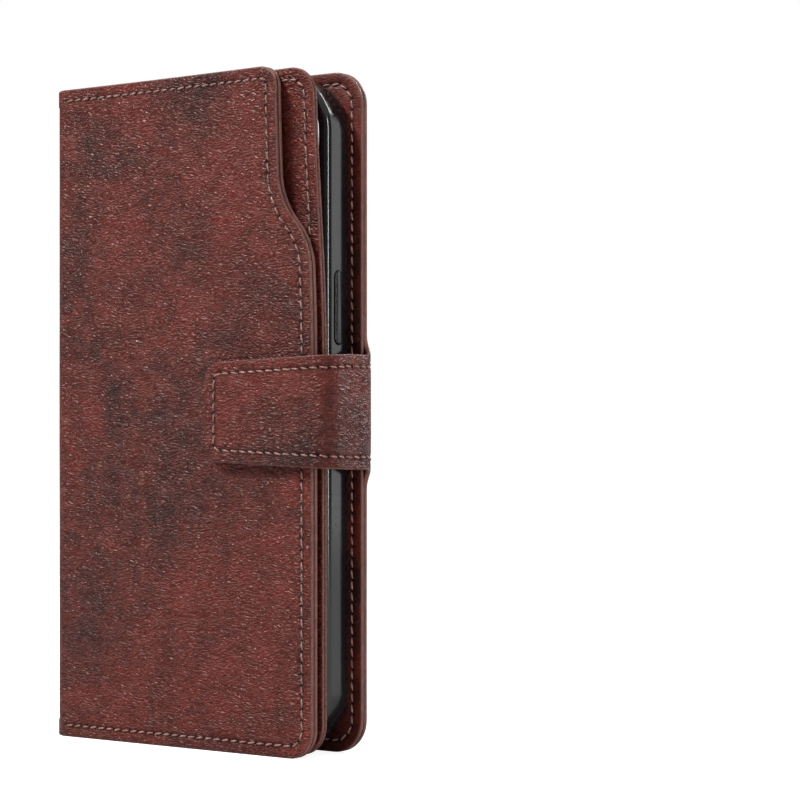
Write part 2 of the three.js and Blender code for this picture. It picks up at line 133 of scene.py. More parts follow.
class CASE_PG_leather(bpy.types.PropertyGroup):
    """Sizes of the leather work."""

    layer: length("Layer", "Thickness of a panel's outer leather at its edge", 1.3 * MM)
    strap_layer: length("Strap layer", "Thickness of the strap's outer leather", 0.9 * MM)
    back_corner: length("Back corner", "Corner radius of the back panel", 8.5 * MM)
    cover_corner: length("Cover corner", "Radius of the cover's lower corner", 7.0 * MM)
    cover_top_corner: length("Cover top corner", "Radius of the cover's corner above the notch", 5 * MM)
    page_corner: length("Page corner", "Corner radius of the middle page", 7.5 * MM)
    notch_depth: length("Notch depth", "How far the thumb notch is cut in", 9 * MM)
    notch_straight: length("Notch length", "Straight part of the notch below the top edge", 32 * MM)
    notch_slope: length("Notch slope", "Height of the notch's sloping foot", 11 * MM)
    front_fold: length("Front fold", "Outer radius where the spine turns into the cover", 3.4 * MM)
    back_fold: length("Back fold", "Outer radius where the spine turns into the back panel", 1.8 * MM)
    crease_x: length("Crease", "Distance of the stand crease from the spine", 38 * MM)
    window_size: length("Window size", "Side of the camera window", 39 * MM)
    window_corner: length("Window corner", "Corner radius of the camera window", 10.5 * MM)
    window_from_edge: length("Window from edge", "Leather left beside the camera window", 6 * MM)
    window_from_top: length("Window from top", "Leather left above the camera window", 5.75 * MM)
    strap_corner: length("Strap corner", "Corner radius of the strap's tip", 4.8 * MM)
    strap_fillet: length("Strap fillet", "Fillet where the strap leaves the back panel", 5 * MM)
    cover_lift: length("Cover lift", "How far the cover's upper free corner stands off", 3.5 * MM)
    page_lift: length("Page lift", "How far the page's upper free corner stands off", 4.0 * MM)


class CASE_PG_sewing(bpy.types.PropertyGroup):
    """Sizes of the seams."""

    inset: length("Seam inset", "Distance of a seam from its edge", 3.0 * MM)
    pitch: length("Pitch", "Distance from one stitch to the next", 2.75 * MM)
    stitch: length("Stitch", "Length of one stitch", 2.3 * MM)
    thread: length("Thread", "Diameter of the thread", 0.5 * MM)


class CASE_PG_colours(bpy.types.PropertyGroup):
    """Colours of the finishes."""

    dark: colour("Dark leather", "Leather in its darkest patches", (0.0280, 0.0052, 0.0038))
    red: colour("Red leather", "Leather in its rubbed red patches", (0.1500, 0.0190, 0.0120))
    # Colour of the grain's ridges: part wear, part painted highlight standing in for the shine on the ridges.
    grain_wear_and_highlight: colour("Rubbed grain", "Leather on top of its grain", (0.3000, 0.1000, 0.0800))
    edge: colour("Edge", "Cut and painted edges of the leather", (0.2000, 0.0900, 0.0740))
    thread: colour("Thread", "Sewing thread", (0.5000, 0.2600, 0.2200))
    shell: colour("Shell", "Moulded shell", (0.0045, 0.0045, 0.0055))
    board: colour("Board", "Board inside the panels", (0.330, 0.2700, 0.2000))
    backdrop: colour("Backdrop", "Floor and backdrop", (0.550, 0.5500, 0.5500))


class CASE_PG_view(bpy.types.PropertyGroup):
    """Camera of the main view."""

    azimuth: FloatProperty(
        name="Azimuth", description="Where the camera stands round the case", default=math.radians(40.0),
        subtype="ANGLE", unit="ROTATION",
    )
    turn: FloatProperty(
        name="Turn", description="How far the camera is turned from the case", default=math.radians(-4.55),
        subtype="ANGLE", unit="ROTATION",
    )
    distance: length("Distance", "From the case's axis to the camera", 0.6085)
    height: length("Height", "Height of the camera", 0.0796)
    lens: FloatProperty(name="Lens", description="Focal length", default=108.0, subtype="DISTANCE_CAMERA")
    rise: FloatProperty(name="Rise", description="Vertical shift of the lens", default=0.0376)


# ---- paths that the sheets follow ----------------------------------------------------


class SheetPath:
    """A line in plan that a sheet's outer face follows. side is +1 where that face is on the left."""

    def __init__(self, points, side):
        self.points = points
        steps = [b - a for a, b in zip(points, points[1:])]
        self.reach = [0.0]
        for step in steps:
            self.reach.append(self.reach[-1] + step.length)
        turned = [Vector((-s.y, s.x)).normalized() * side for s in steps]
        inner = [(a + b).normalized() for a, b in zip(turned, turned[1:])]
        self.normals = [turned[0], *inner, turned[-1]]

    def at(self, u):
        k = min(max(bisect_right(self.reach, u) - 1, 0), len(self.points) - 2)
        t = (u - self.reach[k]) / (self.reach[k + 1] - self.reach[k])
        point = self.points[k].lerp(self.points[k + 1], t)
        between = min(max(t, 0.0), 1.0)
        return point, self.normals[k].lerp(self.normals[k + 1], between).normalized()

    def place(self, u, z, w):
        point, normal = self.at(u)
        return Vector((point.x + normal.x * w, point.y + normal.y * w, z))

    def u_at_x(self, x):
        """Length along the path to its last crossing of x."""
        for k in reversed(range(len(self.points) - 1)):
            a, b = self.points[k].x, self.points[k + 1].x
            if a != b and min(a, b) <= x <= max(a, b):
                return self.reach[k] + (x - a) / (b - a) * (self.reach[k + 1] - self.reach[k])
        raise ValueError(f"the path never crosses x = {x}")


def curve_between(start, heading_in, end, heading_out, ease=0.55, steps=14):
    """Points of a smooth bend from start to end, which it meets along the two headings."""
    reach = Vector(((end - start).x, (end - start).y))
    along_in = abs(reach.dot(heading_in)) * ease
    along_out = abs(reach.dot(heading_out)) * ease
    handles = [start, start + heading_in * along_in, end - heading_out * along_out, end]
    points = []
    for i in range(steps + 1):
        t = i / steps
        weights = ((1 - t) ** 3, 3 * t * (1 - t) ** 2, 3 * t * t * (1 - t), t**3)
        points.append(sum((h * w for h, w in zip(handles, weights)), Vector((0, 0))))
    return points


LEFT, RIGHT = Vector((-1, 0)), Vector((1, 0))
FORWARD, BACKWARD = Vector((0, -1)), Vector((0, 1))


def cover_path():
    """Outer face from the middle of the spine, round the front fold, to past the cover's edge."""
    r = bpy.context.scene.case_leather.front_fold
    bend = curve_between(Vector((SPINE_X, COVER_Y + r)), FORWARD, Vector((SPINE_X + r, COVER_Y)), RIGHT)
    return SheetPath([Vector((SPINE_X, MID_Y)), *bend, Vector((COVER_EDGE_X + SPARE, COVER_Y))], -1)


def back_path():
    """Outer face from the middle of the spine, round the back panel, and round to the strap's side."""
    r = bpy.context.scene.case_leather.back_fold
    fold = curve_between(Vector((SPINE_X, BACK_Y - r)), BACKWARD, Vector((SPINE_X + r, BACK_Y)), RIGHT)
    root = Vector((BACK_EDGE_X - 0.5 * MM, BACK_Y))
    shoulder = Vector((STRAP_SIDE_X, BACK_Y - 6.5 * MM))
    return SheetPath(
        [Vector((SPINE_X, MID_Y)), *fold, *curve_between(root, RIGHT, shoulder, FORWARD),
         Vector((STRAP_SIDE_X, SIDE_MID_Y))],
        1,
    )


def strap_path():
    """Outer face from the middle of the strap's side to past its tip on the cover."""
    shoulder = Vector((STRAP_SIDE_X, STRAP_LOW.y + 6 * MM))
    turn = Vector((COVER_EDGE_X + 1 * MM, STRAP_LOW.y))
    return SheetPath(
        [Vector((STRAP_SIDE_X, SIDE_MID_Y)), *curve_between(shoulder, FORWARD, turn, LEFT),
         Vector((STRAP_LOW.x - SPARE, STRAP_LOW.y))],
        1,
    )


def inner_path(outer_y, heading, edge_x):
    """Inner face of the spine's lining, pressed down into the boardless fold, then along a panel's lining."""
    corner = Vector((SPINE_INNER_X, outer_y))
    into = (LEFT + heading).normalized() * FOLD_DIP
    bend = []
    for i in range(-9, 10):
        along = 0.3 * MM * i
        on_face = corner + (heading if i < 0 else RIGHT) * along
        bend.append(on_face + into * hump(along, 1.4 * MM))
    side = 1 if heading == FORWARD else -1
    return SheetPath([Vector((SPINE_INNER_X, MID_Y)), *bend, Vector((edge_x + SPARE, outer_y))], side)


def straight_path(y, x_end, side):
    """A flat face at one depth, from the spine to past x_end."""
    return SheetPath([Vector((SPINE_X, y)), Vector((x_end + SPARE, y))], side)


# ---- flat sheets ----------------------------------------------------------------------


def flat_face(loop, rounds, step):
    """A bmesh of one flat face in (u, z) from its corners, some of them rounded, with its outline cut up."""
    bm = bmesh.new()
    corners = [bm.verts.new((*corner, 0.0)) for corner in loop]
    bm.faces.new(corners)
    for vert, corner in zip(corners, loop):
        if corner in rounds:
            bmesh.ops.bevel(
                bm, geom=[vert], offset=rounds[corner], offset_type="OFFSET", affect="VERTICES",
                segments=12, profile=0.5, material=-1,
            )
    for edge in bm.edges[:]:
        cuts = round(edge.calc_length() / step) - 1
        if cuts > 0:
            bmesh.ops.subdivide_edges(bm, edges=[edge], cuts=cuts)
    return bm


def inset_rings(bm, faces, places, depth_in):
    """Insets faces to each distance in turn, and notes it on the vertices."""
    for before, place in zip(places, places[1:]):
        bmesh.ops.inset_region(
            bm, faces=faces, thickness=abs(place - before), use_even_offset=True, use_boundary=True
        )
        for vert in {v for f in faces for v in f.verts}:
            vert[depth_in] = place


def cut_across(bm, axis, places):
    """Cuts the whole mesh at each place along an axis."""
    normal = (1, 0, 0) if axis == 0 else (0, 1, 0)
    for place in places:
        point = (place, 0, 0) if axis == 0 else (0, place, 0)
        everything = bm.verts[:] + bm.edges[:] + bm.faces[:]
        bmesh.ops.bisect_plane(bm, geom=everything, dist=1e-7, plane_co=point, plane_no=normal)


def trim(bm, limit, keep_above):
    """Cuts away what lies past a limit of u."""
    bmesh.ops.bisect_plane(
        bm, geom=bm.verts[:] + bm.edges[:] + bm.faces[:], dist=1e-7, plane_co=(limit, 0, 0),
        plane_no=(-1, 0, 0) if keep_above else (1, 0, 0), clear_outer=True,
    )


def hump(distance, width):
    """1 at no distance, falling smoothly to nothing."""
    return math.exp(-((distance / width) ** 2))


def tree_of(points):
    """A search tree of flat points."""
    found = kdtree.KDTree(len(points))
    for i, p in enumerate(points):
        found.insert((p.x, p.y, 0), i)
    found.balance()
    return found


class Seam:
    """A row of stitches a set distance in from an outline, wherever wanted(u, z) is true."""

    def __init__(self, loop, rounds, inset, wanted):
        self.inset = inset
        bm = flat_face(loop, rounds, 0.4 * MM)
        face = bm.faces[:]
        bmesh.ops.inset_region(bm, faces=face, thickness=inset, use_even_offset=True, use_boundary=True)
        line = [v.co.xy.copy() for v in face[0].verts]
        bm.free()
        runs = self.runs(line, [wanted(p.x, p.y) for p in line])
        pitch = bpy.context.scene.case_sewing.pitch
        self.stitches = [found for run in runs for found in self.stations(run, pitch)]
        self.track = tree_of([p for run in runs for p in run])
        self.holes = tree_of([p + d * pitch / 2 for p, d in self.stitches])

    @staticmethod
    def runs(line, kept):
        """The stretches of a closed line whose points are kept."""
        if all(kept):
            return [[*line, line[0]]]
        start = kept.index(False)
        turned = [(p, k) for p, k in zip(line[start:] + line[:start], kept[start:] + kept[:start])]
        runs = [[]]
        for point, keep in turned:
            if keep:
                runs[-1].append(point)
            elif runs[-1]:
                runs.append([])
        return [run for run in runs if len(run) > 2]

    @staticmethod
    def stations(run, pitch):
        """Evenly spaced (point, direction) along a run, a whole number of pitches from end to end."""
        reach = [0.0]
        for a, b in zip(run, run[1:]):
            reach.append(reach[-1] + (b - a).length)
        count = max(round(reach[-1] / pitch), 1)
        for i in range(count):
            s = (i + 0.5) * reach[-1] / count
            k = min(bisect_right(reach, s) - 1, len(run) - 2)
            t = (s - reach[k]) / max(reach[k + 1] - reach[k], 1e-9)
            yield run[k].lerp(run[k + 1], t), (run[k + 1] - run[k]).normalized()

    def press(self, u, z):
        """(how much of the groove, how much of a needle hole) is at a point."""
        return hump(self.track.find((u, z, 0))[2], 0.7 * MM), hump(self.holes.find((u, z, 0))[2], 0.45 * MM)


def edge_drop(inset):
    """(how far the surface has dropped, how much it is edge) at a distance in from the edge."""
    for (a, drop_a), (b, drop_b) in zip(EDGE_PROFILE, EDGE_PROFILE[1:]):
        if inset <= b:
            share = (inset - a) / (b - a)
            return drop_a + (drop_b - drop_a) * share, 1 - inset / EDGE_PROFILE[-1][0]
    return 0.0, 0.0


def leather_sheet(name, loop, rounds, path, thickness, seam=None, hole=None, low=None, high=None,
                  columns=(), rows=(), joined=(1, 0.0), pocket=None, puff=0.12 * MM, shape=None, lift=None,
                  base=0.0, side=1, drop=1.0):
    """A closed leather layer: a flat outline with rounded edges and a pressed seam, bent along its path.

    joined gives the sheet's place in the uncut hide; base and side give the visible face's distance from
    the path and which way it faces; pocket gives where and how thin the layer is over a board.
    """
    bm = flat_face(loop, rounds, 0.5 * MM if seam else 0.8 * MM)
    depth_in = bm.verts.layers.float.new("depth_in")
    rings = [place for place, _ in EDGE_PROFILE]
    if seam:
        rings += [seam.inset + step * MM for step in (-1.2, -0.7, -0.35, -0.12, 0.12, 0.35, 0.7, 1.2)]
    if pocket:
        rings = sorted({*rings, pocket[0], pocket[0] + 0.3 * MM})
    middle = bm.faces[:]
    inset_rings(bm, middle, rings, depth_in)
    if hole:
        add_hole(bm, middle[0], *hole, depth_in, rings[-1])
    if low is not None:
        trim(bm, low, True)
    if high is not None:
        trim(bm, high, False)
    cut_across(bm, 0, columns)
    cut_across(bm, 1, rows)

    under = bm.verts.layers.float.new("under")
    made = bmesh.ops.extrude_face_region(bm, geom=bm.faces[:], use_keep_orig=True)["geom"]
    for vert in made:
        if isinstance(vert, bmesh.types.BMVert):
            vert[under] = 1.0
    layers = bm.verts.layers
    edge_layer, seam_shade = layers.float.new("edge"), layers.float.new("seam_shade")
    hide = layers.float_vector.new("hide")
    depth_in, under = layers.float["depth_in"], layers.float["under"]
    sign, start = joined
    for vert in bm.verts:
        u, z, _ = vert.co
        place = start + sign * u
        fall, worn = edge_drop(vert[depth_in])
        vert[edge_layer] = worn
        if vert[under] > 0.5:
            thin = pocket and vert[depth_in] >= pocket[0] + 0.29 * MM
            w = -pocket[1] if thin else -thickness + fall * drop
        else:
            soft = min(max((vert[depth_in] - 0.6 * MM) / (3.4 * MM), 0.0), 1.0)
            wave = noise.noise(Vector((place, z, thickness)) / (12 * MM)) * 0.5 + 0.5
            w = -fall * drop + puff * soft * wave
            if seam:
                groove, needle = seam.press(u, z)
                w -= groove * 0.24 * MM + needle * 0.26 * MM
                # Mask of painted shade: the seam's groove a little and its needle holes most.
                vert[seam_shade] = min(groove * 0.3 + needle, 1.0)
        vert[hide] = (place, z, w)
        if shape:
            w += shape(u, z)
        vert.co = path.place(u, z, base + side * w)
        if lift:
            vert.co.y -= lift(vert.co)
    layers.float.remove(layers.float["depth_in"])
    layers.float.remove(layers.float["under"])
    return finish_mesh(name, bm, 42)


def add_hole(bm, middle, loop, rounds, depth_in, inner_depth):
    """Opens a hole with its own rounded edge in the middle face of a sheet."""
    outline = flat_face(loop, rounds, 0.6 * MM)
    mesh = bpy.data.meshes.new("opening")
    outline.to_mesh(mesh)
    outline.free()
    known = set(bm.faces)
    bm.from_mesh(mesh)
    bpy.data.meshes.remove(mesh)
    opening = [f for f in bm.faces if f not in known]
    border = opening[0].edges[:] + middle.edges[:]
    for vert in opening[0].verts:
        vert[depth_in] = inner_depth
    bmesh.ops.delete(bm, geom=[middle], context="FACES_ONLY")
    bmesh.ops.inset_region(bm, faces=opening, thickness=1e-6, use_boundary=True)
    places = [place for place, _ in reversed(EDGE_PROFILE)]
    for vert in opening[0].verts:
        vert[depth_in] = places[0]
    inset_rings(bm, opening, places, depth_in)
    bmesh.ops.delete(bm, geom=opening, context="FACES_ONLY")
    bmesh.ops.triangle_fill(bm, use_beauty=True, edges=[e for e in border if e.is_valid])


def finish_mesh(name, bm, angle, clean=0.0):
    """Turns a bmesh into a piece, shaded smooth except at edges sharper than the angle in degrees."""
    if clean:
        bmesh.ops.remove_doubles(bm, verts=bm.verts[:], dist=clean)
    bmesh.ops.recalc_face_normals(bm, faces=bm.faces[:])
    mesh = bpy.data.meshes.new(name)
    bm.to_mesh(mesh)
    bm.free()
    mesh.shade_smooth()
    mesh.set_sharp_from_angle(angle=math.radians(angle))
    piece = bpy.data.objects.new(name, mesh)
    bpy.context.scene.collection.objects.link(piece)
    return piece


def stitch_row(name, stitches, path, joined=(1, 0.0), lift=None):
    """Every stitch of a seam, each a short slanted thread that dips into the leather at its ends."""
    sewing = bpy.context.scene.case_sewing
    bm = bmesh.new()
    hide = bm.verts.layers.float_vector.new("hide")
    sign, start = joined
    for count, (centre, direction) in enumerate(stitches):
        made = bmesh.ops.create_uvsphere(bm, u_segments=8, v_segments=6, radius=1.0)["verts"]
        slant = 0.14 + 0.05 * math.sin(count * 2.4)
        across = Vector((-direction.y, direction.x))
        for vert in made:
            along = vert.co.z * sewing.stitch / 2
            out = vert.co.y * sewing.thread / 2
            beside = vert.co.x * sewing.thread / 2 + along * slant
            spot = centre + direction * along + across * beside
            w = out - STITCH_SINK - STITCH_DIP * vert.co.z**4
            vert[hide] = (start + sign * spot.x, spot.y, w)
            vert.co = path.place(spot.x, spot.y, w)
            if lift:
                vert.co.y -= lift(vert.co)
    return finish_mesh(name, bm, 60)


def spread(low, high, step):
    """Places between two limits, about a step apart, without the limits themselves."""
    count = max(round((high - low) / step), 1)
    return [low + (high - low) * i / count for i in range(1, count)]


def bend_columns(path, low, high):
    """Where a sheet is cut so that it can follow its path's bends."""
    return [u for u in path.reach[1:-1] if low < u < high]


# ---- outlines of the pieces, in flat (u, z) -----------------------------------------


def cover_outline(path):
    """Corners of the cover and its half of the spine, and the radius of each rounded corner."""
    leather = bpy.context.scene.case_leather
    right = path.u_at_x(COVER_EDGE_X)
    notch = right - leather.notch_depth
    slope_top = TOP_Z - leather.notch_straight
    slope_foot = slope_top - leather.notch_slope
    loop = [(-SPARE, 0.0), (right, 0.0), (right, slope_foot), (notch, slope_top), (notch, TOP_Z),
            (-SPARE, TOP_Z)]
    return loop, {
        loop[1]: leather.cover_corner,
        loop[2]: leather.notch_slope * 0.5,
        loop[3]: leather.notch_slope * 0.5,
        loop[4]: leather.cover_top_corner,
        loop[0]: SPARE_CORNER,
        loop[5]: SPARE_CORNER,
    }


def back_outline(path, strap_end):
    """Corners of the back panel and its half of the spine, with the strap's root if strap_end is given."""
    leather = bpy.context.scene.case_leather
    right = path.u_at_x(BACK_EDGE_X)
    loop = [(-SPARE, 0.0), (right, 0.0), (right, TOP_Z), (-SPARE, TOP_Z)]
    rounds = {loop[1]: leather.back_corner, loop[2]: leather.back_corner}
    rounds[loop[0]] = rounds[loop[3]] = SPARE_CORNER
    if strap_end:
        low, high = (right, STRAP_LOW.z), (right, STRAP_HIGH.z)
        loop[2:2] = [low, (strap_end, STRAP_LOW.z), (strap_end, STRAP_HIGH.z), high]
        rounds[low] = rounds[high] = leather.strap_fillet
        rounds[loop[3]] = rounds[loop[4]] = SPARE_CORNER
    return loop, rounds


def window_outline(path, wider=0.0):
    """Corners of the camera window, made wider all round by a given amount."""
    leather = bpy.context.scene.case_leather
    right = path.u_at_x(BACK_EDGE_X - leather.window_from_edge)
    left, top = right - leather.window_size, TOP_Z - leather.window_from_top
    foot = top - leather.window_size
    loop = [(left - wider, foot - wider), (right + wider, foot - wider), (right + wider, top + wider),
            (left - wider, top + wider)]
    return loop, {corner: leather.window_corner + wider for corner in loop}


def strap_outline(path):
    """Corners of the strap's front half: its sides narrow to the rounded tip."""
    radius = bpy.context.scene.case_leather.strap_corner
    tip = path.u_at_x(STRAP_LOW.x)
    narrow = 1.75 * MM
    slope = narrow / tip * SPARE
    loop = [(-SPARE, STRAP_LOW.z - slope), (tip, STRAP_LOW.z + narrow), (tip, STRAP_HIGH.z - narrow),
            (-SPARE, STRAP_HIGH.z + slope)]
    return loop, {loop[0]: SPARE_CORNER, loop[1]: radius, loop[2]: radius, loop[3]: SPARE_CORNER}


def rounded_rectangle(left, foot, right, top, radius):
    """Four corners, and the radius of each."""
    loop = [(left, foot), (right, foot), (right, top), (left, top)]
    return loop, {corner: radius for corner in loop}


def corner_lift(amount, edge_x):
    """A panel's upper free corner stands a little proud of the rest."""

    def lift(point):
        across = min(max((point.x - SPINE_X) / (edge_x - SPINE_X), 0.0), 1.0)
        up = min(max((point.z - STRAP_HIGH.z) / (TOP_Z - STRAP_HIGH.z), 0.0), 1.0)
        return amount * across**2 * up * up * (3 - 2 * up)

    return lift


def fold_line(corner, x_way, y_way, first, last):
    """Start and end of a blend across a corner, each a distance from it along a diagonal."""
    way = Vector((x_way, y_way, 0.0))
    return corner + way * first, corner + way * last


def across_back_fold():
    """Where the leather blends from the back panel to the spine."""
    return fold_line(Vector((SPINE_X, BACK_Y, 0)), -1, -1, -0.15 * MM, 0.65 * MM)


def across_front_fold():
    """Where the leather blends from the cover to the spine."""
    return fold_line(Vector((SPINE_X, COVER_Y, 0)), -1, 1, -0.15 * MM, 0.65 * MM)


# ---- materials --------------------------------------------------------------------------


def put(tree, kind, **settings):
    """Adds a node. Settings name its properties, or its inputs by i_ and the socket's number or name."""
    node = tree.nodes.new(kind)
    for key, value in settings.items():
        if not key.startswith("i_"):
            setattr(node, key, value)
    for key, value in settings.items():
        if key.startswith("i_"):
            label = key[2:]
            socket = node.inputs[int(label)] if label.isdigit() else node.inputs[label.replace("_", " ")]
            if isinstance(value, bpy.types.NodeSocket):
                tree.links.new(value, socket)
            else:
                socket.default_value = value
    return node


def maths(tree, operation, *values, clamp=False):
    """A Math node's result."""
    inputs = {f"i_{i}": v for i, v in enumerate(values)}
    return put(tree, "ShaderNodeMath", operation=operation, use_clamp=clamp, **inputs).outputs[0]


def remap(tree, value, low, high, to_low=0.0, to_high=1.0):
    """A value stretched from one range to another."""
    node = put(tree, "ShaderNodeMapRange", i_Value=value)
    for key, number in (("From Min", low), ("From Max", high), ("To Min", to_low), ("To Max", to_high)):
        if isinstance(number, bpy.types.NodeSocket):
            tree.links.new(number, node.inputs[key])
        else:
            node.inputs[key].default_value = number
    return node.outputs["Result"]


def blend_colour(tree, factor, first, second):
    """From the first colour to the second as the factor goes from 0 to 1."""
    node = put(tree, "ShaderNodeMix", data_type="RGBA", blend_type="MIX", clamp_factor=True)
    for socket, value in ((node.inputs[0], factor), (node.inputs[6], first), (node.inputs[7], second)):
        if isinstance(value, bpy.types.NodeSocket):
            tree.links.new(value, socket)
        else:
            socket.default_value = value if not hasattr(value, "__len__") else (*value[:3], 1.0)
    return node.outputs[2]


def node_group(name, inputs, outputs):
    """An empty shader node group with its sockets: (name, type, default) and (name, type)."""
    group = bpy.data.node_groups.new(name, "ShaderNodeTree")
    for label, kind, default in inputs:
        socket = group.interface.new_socket(name=label, in_out="INPUT", socket_type=kind)
        if default is not None:
            socket.default_value = default
    for label, kind in outputs:
        group.interface.new_socket(name=label, in_out="OUTPUT", socket_type=kind)
    return group, group.nodes.new("NodeGroupInput"), group.nodes.new("NodeGroupOutput")


def grain_group():
    """Creased leather grain: a mask of the raised wrinkles, and the height of cells and wrinkles together."""
    group, given, result = node_group(
        "Leather grain",
        [("Vector", "NodeSocketVector", None), ("Cells", "NodeSocketFloat", 1250.0),
         ("Stretch", "NodeSocketFloat", 0.42)],
        [("Ridge", "NodeSocketFloat"), ("Height", "NodeSocketFloat")],
    )
    vector, cells, stretch, _ = given.outputs
    squash = put(group, "ShaderNodeCombineXYZ", i_X=stretch, i_Y=1.0, i_Z=1.0).outputs[0]
    long = put(group, "ShaderNodeVectorMath", operation="MULTIPLY", i_0=vector, i_1=squash).outputs[0]
    drift = put(group, "ShaderNodeTexNoise", i_Vector=long, i_Scale=260.0, i_Detail=3.0)
    push = put(
        group, "ShaderNodeVectorMath", operation="MULTIPLY_ADD", i_0=drift.outputs["Color"],
        i_1=(0.0024, 0.0024, 0.0), i_2=long,
    ).outputs[0]
    crackle = put(
        group, "ShaderNodeTexVoronoi", feature="DISTANCE_TO_EDGE", i_Vector=push, i_Scale=cells,
    ).outputs["Distance"]
    wander = put(
        group, "ShaderNodeTexNoise", i_Vector=push, i_Scale=maths(group, "MULTIPLY", cells, 0.74),
        i_Detail=2.0, i_Roughness=0.6,
    ).outputs["Fac"]
    away = maths(group, "ABSOLUTE", maths(group, "SUBTRACT", wander, 0.5))
    wrinkle = remap(group, away, 0.0, 0.11, 1.0, 0.0)
    fine = put(group, "ShaderNodeTexNoise", i_Vector=vector, i_Scale=3200.0, i_Detail=2.0).outputs["Fac"]
    cell = remap(group, crackle, 0.02, 0.3)
    height = maths(group, "MULTIPLY_ADD", wrinkle, 0.55, maths(group, "MULTIPLY", cell, 0.6))
    height = maths(group, "MULTIPLY_ADD", fine, 0.14, height)
    group.links.new(maths(group, "MULTIPLY", wrinkle, cell), result.inputs["Ridge"])
    group.links.new(height, result.inputs["Height"])
    return group


def patina_group():
    """Large cloudy patches where the leather is darker or worn red, and a finer fleck."""
    group, given, result = node_group(
        "Leather patina",
        [("Vector", "NodeSocketVector", None)],
        [("Patch", "NodeSocketFloat"), ("Fleck", "NodeSocketFloat")],
    )
    vector, _ = given.outputs
    cloud = put(
        group, "ShaderNodeTexNoise", i_Vector=vector, i_Scale=24.0, i_Detail=4.0, i_Roughness=0.62,
        i_Distortion=0.6,
    ).outputs["Fac"]
    fleck = put(
        group, "ShaderNodeTexNoise", i_Vector=vector, i_Scale=160.0, i_Detail=4.0, i_Roughness=0.65
    ).outputs["Fac"]
    both = maths(group, "MULTIPLY_ADD", fleck, 0.35, maths(group, "MULTIPLY", cloud, 0.75))
    group.links.new(remap(group, both, 0.42, 0.68), result.inputs["Patch"])
    group.links.new(remap(group, fleck, 0.35, 0.7), result.inputs["Fleck"])
    return group


def new_material(name):
    """A material with nothing but a Principled surface."""
    material = bpy.data.materials.new(name)
    material.use_nodes = True
    tree = material.node_tree
    tree.nodes.clear()
    surface = put(tree, "ShaderNodeBsdfPrincipled")
    output = put(tree, "ShaderNodeOutputMaterial")
    tree.links.new(surface.outputs[0], output.inputs["Surface"])
    return material, tree, surface


def place_group(tree, name, **inputs):
    """Places a node group with its own values."""
    node = tree.nodes.new("ShaderNodeGroup")
    node.node_tree = bpy.data.node_groups[name]
    for key, value in inputs.items():
        if isinstance(value, bpy.types.NodeSocket):
            tree.links.new(value, node.inputs[key])
        else:
            node.inputs[key].default_value = value
    return node


def leather_material(name, darker=0.0, cells=1250.0, relief=0.00034, shine=0.24):
    """Waxed leather with creases in its grain, worn red patches and pale painted edges; painted shade darkens
    the grain's creases and the seam's groove and needle holes, and the grain's ridges take a colour that is
    part wear and part painted highlight.
    """
    colours = bpy.context.scene.case_colours
    material, tree, surface = new_material(name)
    hide = put(tree, "ShaderNodeAttribute", attribute_name="hide").outputs["Vector"]
    edge = put(tree, "ShaderNodeAttribute", attribute_name="edge").outputs["Fac"]
    # Mask of the painted shade in the seam's groove and needle holes.
    seam_shade = put(tree, "ShaderNodeAttribute", attribute_name="seam_shade").outputs["Fac"]
    grain = place_group(tree, "Leather grain", Vector=hide, Cells=cells)
    patina = place_group(tree, "Leather patina", Vector=hide)
    ridge, height = grain.outputs["Ridge"], grain.outputs["Height"]
    patch = maths(tree, "SUBTRACT", patina.outputs["Patch"], darker, clamp=True)
    base = blend_colour(tree, patch, colours.dark, colours.red)
    # Painted shade: the grain's low creases are darkened, up to halfway, towards a near-black brown.
    crease_shaded = blend_colour(
        tree, remap(tree, height, 0.05, 0.45, 0.5, 0.0), base, tuple(c * 0.3 for c in colours.dark)
    )
    # Ridge colour, part wear and part painted highlight: the raised wrinkles are lightened towards a pale
    # pinkish brown.
    worn = maths(tree, "MULTIPLY", ridge, remap(tree, patina.outputs["Fleck"], 0.1, 1.0, 0.08, 0.5))
    grain_wear_and_highlight = blend_colour(tree, worn, crease_shaded, colours.grain_wear_and_highlight)
    # Painted shade: the seam's groove and needle holes are darkened towards black.
    seam_shaded = blend_colour(tree, maths(tree, "MULTIPLY", seam_shade, 0.9), grain_wear_and_highlight, (0.003, 0.001, 0.0008))
    edge_noise = put(tree, "ShaderNodeTexNoise", i_Vector=hide, i_Scale=420.0, i_Detail=3.0).outputs["Fac"]
    band = blend_colour(
        tree, remap(tree, edge_noise, 0.35, 0.7, 0.0, 0.6), colours.edge,
        tuple(c * 0.45 for c in colours.edge),
    )
    painted = remap(tree, edge, 0.35, 0.85)
    tree.links.new(blend_colour(tree, painted, seam_shaded, band), surface.inputs["Base Color"])
    rough = remap(tree, height, 0.1, 0.9, shine + 0.22, shine)
    rough = maths(tree, "MULTIPLY_ADD", patina.outputs["Fleck"], 0.08, rough)
    tree.links.new(maths(tree, "MULTIPLY_ADD", painted, -0.14, rough), surface.inputs["Roughness"])
    raised = maths(tree, "MULTIPLY", height, maths(tree, "MULTIPLY_ADD", painted, -0.85, 1.0))
    bump = put(tree, "ShaderNodeBump", i_Strength=1.0, i_Distance=relief, i_Height=raised)
    tree.links.new(bump.outputs[0], surface.inputs["Normal"])
    surface.inputs["Specular IOR Level"].default_value = 0.34
    surface.inputs["Specular Tint"].default_value = (1.0, 0.72, 0.68, 1.0)
    return material


